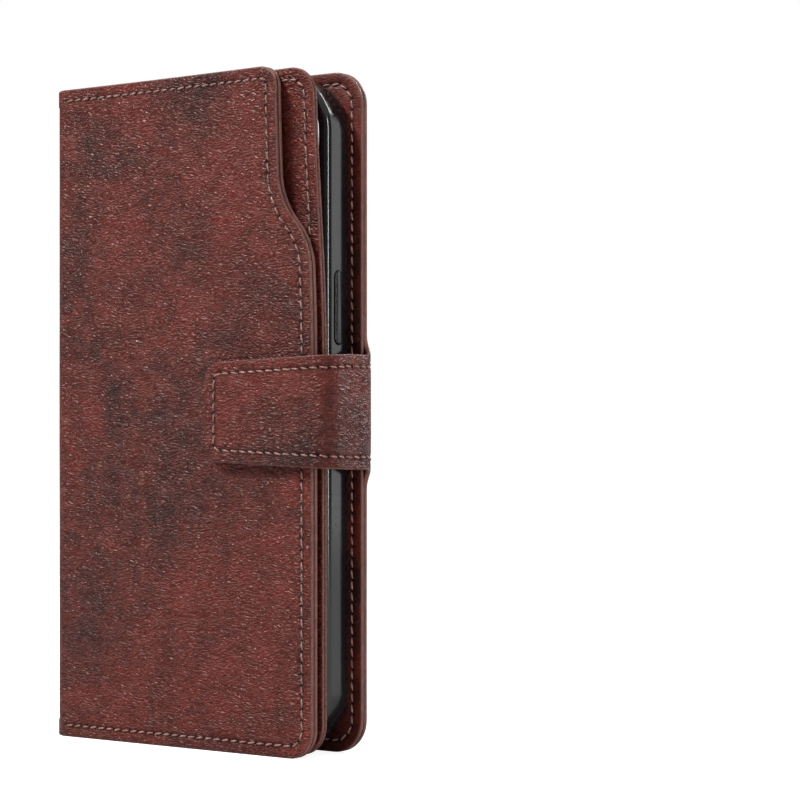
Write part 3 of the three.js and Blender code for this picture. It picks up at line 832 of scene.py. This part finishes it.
def thread_material():
    """Waxed sewing thread with its twist."""
    colours = bpy.context.scene.case_colours
    material, tree, surface = new_material("sewing_thread")
    hide = put(tree, "ShaderNodeAttribute", attribute_name="hide").outputs["Vector"]
    twist = put(
        tree, "ShaderNodeTexWave", wave_type="BANDS", bands_direction="DIAGONAL", i_Vector=hide,
        i_Scale=520.0, i_Distortion=1.5,
    ).outputs["Fac"]
    tone = put(tree, "ShaderNodeTexNoise", i_Vector=hide, i_Scale=260.0, i_Detail=2.0).outputs["Fac"]
    shaded = blend_colour(tree, remap(tree, tone, 0.35, 0.65, 0.0, 0.75), colours.thread,
                          tuple(c * 0.42 for c in colours.thread))
    grooved = blend_colour(tree, maths(tree, "MULTIPLY", twist, 0.4), shaded, (0.06, 0.02, 0.015))
    tree.links.new(grooved, surface.inputs["Base Color"])
    bump = put(tree, "ShaderNodeBump", i_Strength=0.7, i_Distance=0.00006, i_Height=twist)
    tree.links.new(bump.outputs[0], surface.inputs["Normal"])
    surface.inputs["Roughness"].default_value = 0.5
    return material


def shell_material():
    """Glossy moulded plastic with faint flow marks and fine scratches."""
    colours = bpy.context.scene.case_colours
    material, tree, surface = new_material("moulded_shell")
    here = put(tree, "ShaderNodeTexCoord").outputs["Object"]
    flow = put(tree, "ShaderNodeTexNoise", i_Vector=here, i_Scale=45.0, i_Detail=2.0).outputs["Fac"]
    haze = put(tree, "ShaderNodeTexNoise", i_Vector=here, i_Scale=900.0, i_Detail=3.0).outputs["Fac"]
    pale = tuple(c * 2.2 for c in colours.shell)
    tint = blend_colour(tree, remap(tree, flow, 0.3, 0.7), colours.shell, pale)
    tree.links.new(tint, surface.inputs["Base Color"])
    tree.links.new(remap(tree, haze, 0.3, 0.8, 0.09, 0.2), surface.inputs["Roughness"])
    bump = put(tree, "ShaderNodeBump", i_Strength=0.25, i_Distance=0.0001, i_Height=flow)
    tree.links.new(bump.outputs[0], surface.inputs["Normal"])
    surface.inputs["Specular IOR Level"].default_value = 0.6
    return material


def board_material():
    """Grey board with pressed fibres."""
    colours = bpy.context.scene.case_colours
    material, tree, surface = new_material("pressed_board")
    here = put(tree, "ShaderNodeTexCoord").outputs["Object"]
    fibre = put(tree, "ShaderNodeTexNoise", i_Vector=here, i_Scale=1400.0, i_Detail=4.0).outputs["Fac"]
    shade = blend_colour(tree, fibre, colours.board, tuple(c * 0.55 for c in colours.board))
    tree.links.new(shade, surface.inputs["Base Color"])
    bump = put(tree, "ShaderNodeBump", i_Strength=0.5, i_Distance=0.0001, i_Height=fibre)
    tree.links.new(bump.outputs[0], surface.inputs["Normal"])
    surface.inputs["Roughness"].default_value = 0.92
    return material


def metal_material():
    """Plated steel with rolling marks."""
    material, tree, surface = new_material("plated_steel")
    here = put(tree, "ShaderNodeTexCoord").outputs["Object"]
    long = put(tree, "ShaderNodeMapping", i_Vector=here, i_Scale=(1.0, 1.0, 30.0)).outputs[0]
    rolled = put(tree, "ShaderNodeTexNoise", i_Vector=long, i_Scale=300.0, i_Detail=2.0).outputs["Fac"]
    shade = blend_colour(tree, rolled, (0.62, 0.62, 0.64), (0.4, 0.4, 0.42))
    tree.links.new(shade, surface.inputs["Base Color"])
    tree.links.new(remap(tree, rolled, 0.3, 0.7, 0.22, 0.42), surface.inputs["Roughness"])
    surface.inputs["Metallic"].default_value = 1.0
    return material


def backdrop_material():
    """Pale floor, brighter to the camera than to the case."""
    material, tree, surface = new_material("backdrop")
    surface.inputs["Base Color"].default_value = (*bpy.context.scene.case_colours.backdrop, 1.0)
    surface.inputs["Roughness"].default_value = 0.9
    seen = put(tree, "ShaderNodeLightPath").outputs["Is Camera Ray"]
    surface.inputs["Emission Color"].default_value = (1.0, 1.0, 1.0, 1.0)
    tree.links.new(maths(tree, "MULTIPLY", seen, 0.85), surface.inputs["Emission Strength"])
    return material


def dress(piece, material):
    """Gives a piece, or a carried-over node, one material."""
    piece.data.materials.clear()
    piece.data.materials.append(bpy.data.materials[material])


# ---- operators: one for each piece or group of like pieces ---------------------------


def place_piece(piece, finish, body=None, blend=None, stands_for=()):
    """Finishes a piece, and says what it is made of, what it moves with and what it stands for."""
    material, slot = finish
    dress(piece, material)
    if stands_for:
        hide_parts(*stands_for)
    if blend:
        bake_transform(piece, *blend)
    else:
        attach(piece, body)
    return piece


def flat_cuts(low, high, step=8 * MM):
    """Where a flat sheet as large as a box is cut across."""
    return {"columns": spread(low.x - SPINE_X, high.x - SPINE_X, step), "rows": spread(low.z, high.z, 8 * MM)}


def bend_cuts(path, end, step, foot=0.0, top=TOP_Z):
    """Where a bent sheet is cut across: at its path's bends, and evenly past the last of them."""
    columns = bend_columns(path, 0.0, end) + spread(path.reach[-2], end, step)
    return {"low": 0.0, "columns": columns, "rows": spread(foot, top, step)}


def sewn_piece(stem, loop, rounds, path, layer, seam, finish, stands_for=(), thread_for=(), body=None,
               blend=None, joined=(1, 0.0), lift=None, **cut):
    """A leather sheet and the stitches of its seam, which move alike."""
    sheet = leather_sheet(
        f"{stem}_leather", loop, rounds, path, layer, seam, joined=joined, lift=lift, **cut
    )
    place_piece(sheet, finish, body=body, blend=blend, stands_for=stands_for)
    stitches = stitch_row(f"{stem}_stitches", seam.stitches, path, joined=joined, lift=lift)
    place_piece(stitches, THREAD, body=body, blend=blend, stands_for=thread_for)


class CASE_OT_materials(bpy.types.Operator):
    """Make the finishes and the node groups that they share"""

    bl_idname = "case.materials"
    bl_label = "Materials"

    def execute(self, context):
        grain_group()
        patina_group()
        leather_material("waxed_leather")
        leather_material("smooth_leather", darker=0.25, cells=1700.0, relief=0.00007, shine=0.40)
        thread_material()
        shell_material()
        board_material()
        metal_material()
        backdrop_material()
        return {"FINISHED"}


class CASE_OT_cover(bpy.types.Operator):
    """Front cover: outer leather round the front fold, its lining, its board and the seams"""

    bl_idname = "case.cover"
    bl_label = "Cover"

    def execute(self, context):
        leather, sewing = context.scene.case_leather, context.scene.case_sewing
        lift = corner_lift(leather.cover_lift, COVER_EDGE_X)
        blend = ("cover", "spine", *across_front_fold())
        path = cover_path()
        loop, rounds = cover_outline(path)
        right = path.u_at_x(COVER_EDGE_X)
        seam_end = path.u_at_x(SPINE_X + 3.75 * MM)
        seam = Seam(loop, rounds, sewing.inset, lambda u, z: u > seam_end)
        sewn_piece(
            "cover", loop, rounds, path, leather.layer, seam, OUTER, ["cover_skin"], ["cover_seam_thread"],
            blend=blend, joined=(-1, 0.0), lift=lift, pocket=(4.4 * MM, 0.9 * MM),
            **bend_cuts(path, right, 6 * MM),
        )

        path = inner_path(COVER_INNER_Y, FORWARD, COVER_EDGE_X)
        loop, rounds = cover_outline(path)
        right = path.u_at_x(COVER_EDGE_X)
        seam_end = path.u_at_x(SPINE_X + 6 * MM)
        seam = Seam(loop, rounds, sewing.inset, lambda u, z: u > seam_end)
        sewn_piece(
            "cover_inner", loop, rounds, path, leather.layer, seam, LINING, ["cover_lining", "spine_lining"],
            blend=blend, joined=(-1, 0.4), lift=lift, pocket=(4.4 * MM, 0.6 * MM), puff=0.0,
            **bend_cuts(path, right, 8 * MM),
        )

        low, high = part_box("cover_board")
        path = straight_path(high.y, COVER_EDGE_X, 1)
        loop = cover_board_loop(low, high)
        board = leather_sheet(
            "cover_panel_board", loop, {c: 2 * MM for c in loop}, path, high.y - low.y, puff=0.0,
            lift=lift, drop=0.3, **flat_cuts(low, high),
        )
        place_piece(board, BOARD, body="cover", stands_for=["cover_board"])
        return {"FINISHED"}


def cover_board_loop(low, high):
    """Corners of the cover's board, which is notched as the cover is."""
    leather = bpy.context.scene.case_leather
    left, right = low.x - SPINE_X, high.x - SPINE_X
    notch = right - leather.notch_depth
    slope_top = TOP_Z - leather.notch_straight
    slope_foot = slope_top - leather.notch_slope
    return [(left, low.z), (right, low.z), (right, slope_foot), (notch, slope_top), (notch, high.z),
            (left, high.z)]


class CASE_OT_back(bpy.types.Operator):
    """Back panel: outer leather round the back fold, with crease and window, its lining and the seams"""

    bl_idname = "case.back"
    bl_label = "Back panel"

    def execute(self, context):
        leather, sewing = context.scene.case_leather, context.scene.case_sewing
        blend = ("back", "spine", *across_back_fold())
        path = back_path()
        right = path.u_at_x(BACK_EDGE_X)
        end = path.reach[-1]
        crease = path.u_at_x(SPINE_X + leather.crease_x)
        loop, rounds = back_outline(path, end + SPARE)
        seam_end = path.u_at_x(SPINE_X + 3.75 * MM)
        seam = Seam(loop, rounds, sewing.inset, lambda u, z: seam_end < u < end)
        split = right + 0.02 * MM
        hole = window_outline(path, EDGE_PROFILE[-1][0])
        near = [-3.0, -2.2, -1.7, -1.3, -0.9, -0.45, 0.0, 0.45, 0.9, 1.3, 1.7, 2.2, 3.0]

        def pressed(u, _z):
            return -CREASE_DEPTH * hump(u - crease, CREASE_WIDTH)

        outer = leather_sheet(
            "back_leather", loop, rounds, path, leather.layer, seam, hole=hole, low=0.0, high=split,
            columns=bend_columns(path, 0.0, split) + spread(path.u_at_x(SPINE_X + 6 * MM), right, 6 * MM)
            + [crease + step * MM for step in near],
            rows=spread(0.0, TOP_Z, 6 * MM), pocket=(4.4 * MM, 0.9 * MM), shape=pressed,
        )
        place_piece(
            outer, OUTER, blend=blend, stands_for=["back_skin", "spine_skin"]
        )
        stitches = stitch_row("back_stitches", [s for s in seam.stitches if s[0].x < split], path)
        place_piece(stitches, THREAD, blend=blend, stands_for=["back_seam_thread"])

        blend = ("back", "strap_side", *across_strap_root())
        root = leather_sheet(
            "strap_root_leather", loop, rounds, path, leather.layer, seam, low=split, high=end,
            columns=bend_columns(path, split, end) + spread(path.reach[-2], end, 1.5 * MM),
            rows=spread(STRAP_LOW.z, STRAP_HIGH.z, 4 * MM), puff=0.12 * MM,
        )
        place_piece(
            root, OUTER, blend=blend, stands_for=["strap_side_skin"]
        )
        stitches = stitch_row("strap_root_stitches", [s for s in seam.stitches if s[0].x >= split], path)
        place_piece(stitches, THREAD, blend=blend)

        blend = ("back", "spine", *across_back_fold())
        path = inner_path(BACK_INNER_Y, BACKWARD, BACK_EDGE_X)
        loop, rounds = back_outline(path, None)
        right = path.u_at_x(BACK_EDGE_X)
        seam_end = path.u_at_x(SPINE_X + 6 * MM)
        seam = Seam(loop, rounds, sewing.inset, lambda u, z: u > seam_end)
        sewn_piece(
            "back_inner", loop, rounds, path, leather.layer, seam, LINING, ["back_lining"], blend=blend,
            joined=(1, 0.4), hole=window_outline(path, EDGE_PROFILE[-1][0]), pocket=(4.4 * MM, 0.6 * MM),
            puff=0.0, **bend_cuts(path, right, 8 * MM),
        )
        return {"FINISHED"}


def across_strap_root():
    """Where the leather blends from the back panel to the strap."""
    return fold_line(Vector((BACK_EDGE_X, BACK_Y, 0)), 1, -1, 0.6 * MM, 2.3 * MM)


def across_strap_front():
    """Where the strap blends over the cover's edge."""
    return fold_line(Vector((BACK_EDGE_X, STRAP_LOW.y, 0)), 1, 1, 2.3 * MM, 0.6 * MM)


class CASE_OT_strap(bpy.types.Operator):
    """Strap: outer leather over the front, its lining all the way round, and the seam"""

    bl_idname = "case.strap"
    bl_label = "Strap"

    def execute(self, context):
        leather, sewing = context.scene.case_leather, context.scene.case_sewing
        blend = ("strap_side", "strap_tip", *across_strap_front())
        path = strap_path()
        loop, rounds = strap_outline(path)
        tip = path.u_at_x(STRAP_LOW.x)
        start = back_path().reach[-1]
        seam = Seam(loop, rounds, sewing.inset, lambda u, z: u > 0.0)
        sewn_piece(
            "strap", loop, rounds, path, leather.strap_layer, seam, OUTER, ["strap_tip_skin"],
            ["strap_seam_thread"], blend=blend, joined=(1, start), pocket=(4.3 * MM, 0.85 * MM),
            **bend_cuts(path, tip, 4 * MM, STRAP_LOW.z, STRAP_HIGH.z),
        )
        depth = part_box("strap_tip_lining")[1].y - STRAP_LOW.y
        inside = leather_sheet(
            "strap_inner_leather", loop, rounds, path, 0.78 * MM, joined=(1, start + 0.4),
            pocket=(3.9 * MM, 0.48 * MM), puff=0.0, base=-depth, side=-1, drop=0.5,
            **bend_cuts(path, tip, 6 * MM, STRAP_LOW.z, STRAP_HIGH.z),
        )
        place_piece(inside, LINING, blend=blend, stands_for=["strap_tip_lining"])

        blend = ("back", "strap_side", *across_strap_root())
        path = back_path()
        end = path.reach[-1]
        begin = path.u_at_x(BACK_EDGE_X) + 0.1 * MM
        foot, top = STRAP_LOW.z, STRAP_HIGH.z
        loop = [(begin, foot), (end + SPARE, foot), (end + SPARE, top), (begin, top)]
        inside = leather_sheet(
            "strap_root_inner_leather", loop, {}, path, 0.42 * MM, high=end,
            columns=bend_columns(path, begin, end), rows=spread(foot, top, 6 * MM), joined=(1, 0.4),
            puff=0.0, base=-depth, side=-1, drop=0.3,
        )
        place_piece(inside, LINING, blend=blend, stands_for=["strap_side_lining"])
        return {"FINISHED"}


class CASE_OT_page(bpy.types.Operator):
    """Middle page: one leather sheet folded round its stiffener, the seams and the binding strip"""

    bl_idname = "case.page"
    bl_label = "Middle page"

    def execute(self, context):
        leather, sewing = context.scene.case_leather, context.scene.case_sewing
        lift = corner_lift(leather.page_lift, PAGE_HIGH.x)
        path = page_path()
        last = path.u_at_x(PAGE_HIGH.x)
        loop, rounds = rounded_rectangle(SPARE, PAGE_LOW.z, last, PAGE_HIGH.z, leather.page_corner)
        fold = (path.reach[1] + path.reach[-2]) / 2
        seam = Seam(loop, rounds, sewing.inset, lambda u, z: abs(u - fold) > 5.5 * MM)
        sewn_piece(
            "page", loop, rounds, path, 0.85 * MM, seam, OUTER, ["page_front_skin", "page_back_skin"],
            ["page_seam_thread"], body="page", joined=(1, 0.8), lift=lift, pocket=(4.3 * MM, 0.58 * MM),
            puff=0.05 * MM, columns=bend_columns(path, SPARE, last) + spread(SPARE, last, 8 * MM),
            rows=spread(PAGE_LOW.z, PAGE_HIGH.z, 8 * MM),
        )

        low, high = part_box("page_stiffener")
        path = straight_path(high.y, COVER_EDGE_X, 1)
        loop, rounds = rounded_rectangle(low.x - SPINE_X, low.z, high.x - SPINE_X, high.z, 3 * MM)
        board = leather_sheet(
            "page_board", loop, rounds, path, high.y - low.y, puff=0.0, lift=lift, drop=0.2,
            **flat_cuts(low, high),
        )
        place_piece(board, BOARD, body="page", stands_for=["page_stiffener"])

        low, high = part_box("page_binding")
        path = SheetPath([Vector((high.x + 0.12 * MM, high.y)), Vector((high.x + 0.12 * MM, low.y))], 1)
        reach = path.reach[-1]
        loop, rounds = rounded_rectangle(0.0, low.z, reach, high.z, 1.2 * MM)
        strip = leather_sheet(
            "page_binding_strip", loop, rounds, path, 0.5 * MM, rows=spread(low.z, high.z, 8 * MM),
            joined=(1, 1.2), puff=0.0, drop=0.5,
        )
        place_piece(strip, LINING, body="spine", stands_for=["page_binding"])
        return {"FINISHED"}


def page_path():
    """Outer face from past the page's back edge, round its fold, to past its front edge."""
    radius = (PAGE_BACK_Y - PAGE_LOW.y) / 2
    middle_y = (PAGE_BACK_Y + PAGE_LOW.y) / 2
    centre_x = PAGE_LOW.x + radius
    arc = []
    for i in range(13):
        angle = math.pi / 2 + math.pi * i / 12
        arc.append(Vector((centre_x + radius * math.cos(angle), middle_y + radius * math.sin(angle))))
    far = PAGE_HIGH.x + SPARE
    return SheetPath([Vector((far, PAGE_BACK_Y)), *arc, Vector((far, PAGE_LOW.y))], -1)


class CASE_OT_card_slots(bpy.types.Operator):
    """Card slots on the cover and on both faces of the page"""

    bl_idname = "case.card_slots"
    bl_label = "Card slots"

    def execute(self, context):
        leather = context.scene.case_leather
        cover_lift = corner_lift(leather.cover_lift, COVER_EDGE_X)
        page_lift = corner_lift(leather.page_lift, PAGE_HIGH.x)
        rows = [("cover", "cover_card_slot_", BACKWARD.y, cover_lift),
                ("page", "page_front_card_slot_", FORWARD.y, page_lift),
                ("page", "page_back_card_slot_", BACKWARD.y, page_lift)]
        for body, stem, facing, lift in rows:
            for number in (1, 2, 3):
                node = f"{stem}{number}"
                low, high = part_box(node)
                path = straight_path(high.y if facing > 0 else low.y, COVER_EDGE_X, facing)
                right = high.x - SPINE_X
                loop, rounds = rounded_rectangle(low.x - SPINE_X, low.z, right, high.z, 4.5 * MM)
                seam = Seam(loop, rounds, 1.3 * MM, lambda u, z, right=right: u < right - 2 * MM)
                pocket = leather_sheet(
                    f"{stem}{number}_leather", loop, rounds, path, high.y - low.y, seam,
                    joined=(1, 1.6 + 0.1 * number), puff=0.04 * MM, lift=lift, drop=0.35,
                    **flat_cuts(low, high, 6 * MM),
                )
                place_piece(pocket, LINING, body=body, stands_for=[node])
                stitches = stitch_row(f"{stem}{number}_stitches", seam.stitches, path, lift=lift)
                place_piece(stitches, THREAD, body=body)
        return {"FINISHED"}


def fold_rings(bm, face, steps, inset):
    """Steps a face inwards through (depth, inset) rings, so that the sides round over."""
    for depth, place in steps:
        bmesh.ops.inset_region(
            bm, faces=[face], thickness=(place - inset) * MM, use_even_offset=True, use_boundary=True
        )
        for vert in face.verts:
            vert.co.z = depth * MM
        inset = place


def double_face(bm, face, depth, far_depth):
    """Walls between two depths: the face moves to one, and the returned copy of it to the other."""
    made = bmesh.ops.extrude_face_region(bm, geom=[face], use_keep_orig=True)["geom"]
    copy = next(f for f in made if isinstance(f, bmesh.types.BMFace))
    for vert in face.verts:
        vert.co.z = depth * MM
    for vert in copy.verts:
        vert.co.z = far_depth * MM
    return copy


def shell_half(loop, rounds, inset, depths, back_steps, front_steps):
    """The outside or the inside of the shell, from its floor to its mouth, in flat (x, z, depth)."""
    bm = flat_face(loop, rounds, 1.0)
    face = bm.faces[:][0]
    if inset:
        bmesh.ops.inset_region(
            bm, faces=[face], thickness=inset * MM, use_even_offset=True, use_boundary=True
        )
        bmesh.ops.delete(bm, geom=[f for f in bm.faces if f is not face], context="FACES")
    front = double_face(bm, face, *depths)
    fold_rings(bm, face, back_steps, inset)
    fold_rings(bm, front, front_steps, inset)
    bmesh.ops.delete(bm, geom=[front], context="FACES_ONLY")
    return bm


def prism(bm, loop, rounds, start, end, place):
    """Adds a rounded bar from start to end, where place(a, b, c) turns its flat corners into points."""
    bar = flat_face(loop, rounds, 1.0)
    double_face(bar, bar.faces[:][0], start / MM, end / MM)
    for vert in bar.verts:
        vert.co = place(*vert.co)
    bmesh.ops.recalc_face_normals(bar, faces=bar.faces[:])
    mesh = bpy.data.meshes.new("bar")
    bar.to_mesh(mesh)
    bar.free()
    bm.from_mesh(mesh)
    bpy.data.meshes.remove(mesh)


def shell_cutters(low, high):
    """One mesh of every bar that opens the shell: window, key recesses, silencer window and ports."""
    leather = bpy.context.scene.case_leather
    bm = bmesh.new()
    right = BACK_EDGE_X - leather.window_from_edge - 1 * MM
    top = TOP_Z - leather.window_from_top - 1 * MM
    side = leather.window_size - 2 * MM
    loop, rounds = rounded_rectangle(right - side, top - side, right, top, leather.window_corner - 1 * MM)
    prism(bm, loop, rounds, BACK_Y, BACK_Y - 5 * MM, lambda a, b, c: Vector((a, c, b)))
    spine_side, free_side = low.x, high.x
    for node, inner, outer in (
        ("power_key", free_side - KEY_POCKET, free_side + 2 * MM),
        ("volume_up_key", spine_side + KEY_POCKET, spine_side - 2 * MM),
        ("volume_down_key", spine_side + KEY_POCKET, spine_side - 2 * MM),
    ):
        a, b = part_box(node)
        room = 0.22 * MM
        loop, rounds = rounded_rectangle(
            a.y - room, a.z - room, b.y + room, b.z + room, (b.y - a.y) / 2 + room * 0.99
        )
        prism(bm, loop, rounds, inner, outer, lambda a, b, c: Vector((c, a, b)))
    mid_y = (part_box("power_key")[0].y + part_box("power_key")[1].y) / 2
    port_z = low.z + 2 * MM
    loop, rounds = rounded_rectangle(
        mid_y - SILENCER_HALF, SILENCER_LOW_Z, mid_y + SILENCER_HALF, SILENCER_HIGH_Z, SILENCER_CORNER
    )
    prism(bm, loop, rounds, spine_side - 2 * MM, spine_side + 2 * MM, lambda a, b, c: Vector((c, a, b)))
    middle_x = (low.x + high.x) / 2
    for offset, width in PORTS:
        centre = middle_x + offset
        loop, rounds = rounded_rectangle(
            centre - width / 2, mid_y - PORT_HALF, centre + width / 2, mid_y + PORT_HALF, PORT_CORNER
        )
        prism(bm, loop, rounds, low.z - 2 * MM, port_z, lambda a, b, c: Vector((a, b, c)))
    return finish_mesh("shell_cutters", bm, 30)


class CASE_OT_shell(bpy.types.Operator):
    """Moulded shell: the tray that grips the phone, with its lip, window, ports and key openings"""

    bl_idname = "case.shell"
    bl_label = "Shell"

    def execute(self, context):
        low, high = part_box("phone_shell")
        loop, rounds = rounded_rectangle(low.x, low.z, high.x, high.z, 13 * MM)
        outside = shell_half(
            loop, rounds, 0.0, (5.1, 10.45),
            ((4.5, 0.07), (3.9, 0.28), (3.4, 0.65), (3.05, 1.2), (2.875, 2.1)),
            ((11.0, 0.07), (11.55, 0.28), (12.0, 0.6), (12.3, 1.0), (12.46, 1.5), (12.5, 2.0), (12.4, 2.4),
             (12.1, 2.75)),
        )
        inside = shell_half(
            loop, rounds, 1.25, (5.0, 11.0), ((4.3, 1.6), (3.95, 2.2), (3.875, 3.0)),
            ((11.5, 1.5), (11.9, 2.1), (12.1, 2.75)),
        )
        bm = bmesh.new()
        for half in (outside, inside):
            mesh = bpy.data.meshes.new("half")
            half.to_mesh(mesh)
            half.free()
            bm.from_mesh(mesh)
            bpy.data.meshes.remove(mesh)
        for vert in bm.verts:
            vert.co = Vector((vert.co.x, BACK_Y - vert.co.z, vert.co.y))
        shell = finish_mesh("shell_tray", bm, 40, clean=0.03 * MM)
        cutters = shell_cutters(low, high)
        cut = shell.modifiers.new("openings", "BOOLEAN")
        cut.object, cut.operation, cut.solver = cutters, "DIFFERENCE", "EXACT"
        even = shell.modifiers.new("even shading", "WEIGHTED_NORMAL")
        even.keep_sharp = True
        evaluated = shell.evaluated_get(context.evaluated_depsgraph_get())
        mesh = bpy.data.meshes.new_from_object(evaluated)
        shell.modifiers.clear()
        shell.data = mesh
        bpy.data.objects.remove(cutters)
        place_piece(shell, PLASTIC, body="back", stands_for=["phone_shell"])
        return {"FINISHED"}


class CASE_OT_keys(bpy.types.Operator):
    """Keys of the shell, each a soft capsule"""

    bl_idname = "case.keys"
    bl_label = "Keys"

    def execute(self, context):
        for node, body in (("power_key", "power_button"), ("volume_up_key", "volume_up_button"),
                           ("volume_down_key", "volume_down_button")):
            low, high = (Vector(c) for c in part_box(node))
            shell_low, shell_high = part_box("phone_shell")
            out = 1 if low.x > 0 else -1
            if out > 0:
                low.x = shell_high.x - KEY_POCKET + KEY_ROOM
            else:
                high.x = shell_low.x + KEY_POCKET - KEY_ROOM
            bm = bmesh.new()
            made = bmesh.ops.create_cube(bm, size=1.0)["verts"]
            for vert in made:
                for axis in range(3):
                    vert.co[axis] = low[axis] if vert.co[axis] < 0 else high[axis]
            ends = [e for e in bm.edges if abs(e.verts[0].co.x - e.verts[1].co.x) > 1e-6]
            bmesh.ops.bevel(
                bm, geom=ends, offset=(high.y - low.y) * 0.499, offset_type="OFFSET", affect="EDGES",
                segments=10, profile=0.5, material=-1,
            )
            face = max(bm.faces, key=lambda f: f.calc_center_median().x * out)
            bmesh.ops.bevel(
                bm, geom=face.edges[:], offset=0.35 * MM, offset_type="OFFSET", affect="EDGES",
                segments=4, profile=0.5, material=-1,
            )
            key = finish_mesh(f"{node}_cap", bm, 50)
            place_piece(key, PLASTIC, body=body, stands_for=[node])
        return {"FINISHED"}


class CASE_OT_hardware(bpy.types.Operator):
    """Boards, steel plate and magnet inside the panels"""

    bl_idname = "case.hardware"
    bl_label = "Boards and magnets"

    def execute(self, context):
        for node in ("back_board", "stand_board", "spine_stiffener"):
            dress(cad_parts[node], "pressed_board")
        for node in ("cover_magnet_plate", "strap_magnet"):
            dress(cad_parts[node], "plated_steel")
        return {"FINISHED"}


class CASE_OT_stage(bpy.types.Operator):
    """Pale floor, soft lights and the camera"""

    bl_idname = "case.stage"
    bl_label = "Stage"

    def execute(self, context):
        bm = bmesh.new()
        bmesh.ops.create_grid(bm, x_segments=8, y_segments=8, size=3.0)
        floor = finish_mesh("floor", bm, 30)
        dress(floor, "backdrop")

        world = bpy.data.worlds.new("Studio")
        world.use_nodes = True
        tree = world.node_tree
        seen = put(tree, "ShaderNodeLightPath").outputs["Is Camera Ray"]
        strength = maths(tree, "MULTIPLY_ADD", seen, 0.86, 0.14)
        tree.nodes["Background"].inputs["Color"].default_value = (1.0, 1.0, 1.0, 1.0)
        tree.links.new(strength, tree.nodes["Background"].inputs["Strength"])
        context.scene.world = world
        context.scene.view_settings.view_transform = "Standard"
        middle = Vector((0.0, 0.0, TOP_Z / 2))
        for name, place, size, power in (
            ("key_light", (-0.42, -0.55, 1.05), (0.35, 0.25), 17.0),
            ("side_light", (0.95, -0.05, 0.30), (0.05, 0.6), 3.0),
            ("strip_light", (0.72, 0.88, 0.25), (0.22, 0.9), 0.8),
            ("rear_light", (0.25, 0.95, 0.8), (0.6, 0.4), 7.0),
        ):
            light = bpy.data.lights.new(name, "AREA")
            light.shape = "RECTANGLE"
            light.size, light.size_y = size
            light.energy = power
            lamp = bpy.data.objects.new(name, light)
            lamp.location = place
            lamp.rotation_mode = "QUATERNION"
            lamp.rotation_quaternion = (middle - lamp.location).to_track_quat("-Z", "Y")
            context.scene.collection.objects.link(lamp)

        sky = bpy.data.lights.new("sky_light", "SUN")
        sky.energy, sky.angle = 1.0, math.radians(120)
        context.scene.collection.objects.link(bpy.data.objects.new("sky_light", sky))

        view = context.scene.case_view
        data = bpy.data.cameras.new("main_view")
        data.lens = view.lens
        data.sensor_width = 36.0
        data.shift_y = view.rise
        data.clip_start, data.clip_end = 0.01, 20.0
        camera = bpy.data.objects.new("main_view", data)
        camera.location = (
            math.sin(view.azimuth) * view.distance, -math.cos(view.azimuth) * view.distance, view.height
        )
        camera.rotation_euler = (math.pi / 2, 0.0, view.azimuth + view.turn)
        context.scene.collection.objects.link(camera)
        context.scene.camera = camera
        return {"FINISHED"}


OPERATORS = (
    CASE_OT_materials, CASE_OT_cover, CASE_OT_back, CASE_OT_strap, CASE_OT_page, CASE_OT_card_slots,
    CASE_OT_shell, CASE_OT_keys, CASE_OT_hardware, CASE_OT_stage,
)
SETTINGS = {
    "case_leather": CASE_PG_leather,
    "case_sewing": CASE_PG_sewing,
    "case_colours": CASE_PG_colours,
    "case_view": CASE_PG_view,
}


class CASE_PT_sidebar(bpy.types.Panel):
    """Settings and steps of the wallet case"""

    bl_label = "Wallet case"
    bl_idname = "CASE_PT_sidebar"
    bl_space_type = "VIEW_3D"
    bl_region_type = "UI"
    bl_category = "Wallet Case"

    def draw(self, context):
        for group, kind in SETTINGS.items():
            box = self.layout.box()
            box.label(text=kind.__doc__)
            for name in kind.__annotations__:
                box.prop(getattr(context.scene, group), name)
        for operator in OPERATORS:
            self.layout.operator(operator.bl_idname)


def register():
    for kind in (*SETTINGS.values(), *OPERATORS, CASE_PT_sidebar):
        bpy.utils.register_class(kind)
    for name, kind in SETTINGS.items():
        setattr(bpy.types.Scene, name, PointerProperty(type=kind))


def unregister():
    for name in SETTINGS:
        delattr(bpy.types.Scene, name)
    for kind in (CASE_PT_sidebar, *reversed(OPERATORS), *SETTINGS.values()):
        bpy.utils.unregister_class(kind)


def main():
    register()
    for operator in OPERATORS:
        group, name = operator.bl_idname.split(".")
        getattr(getattr(bpy.ops, group), name)()


if __name__ == "__main__":
    main()
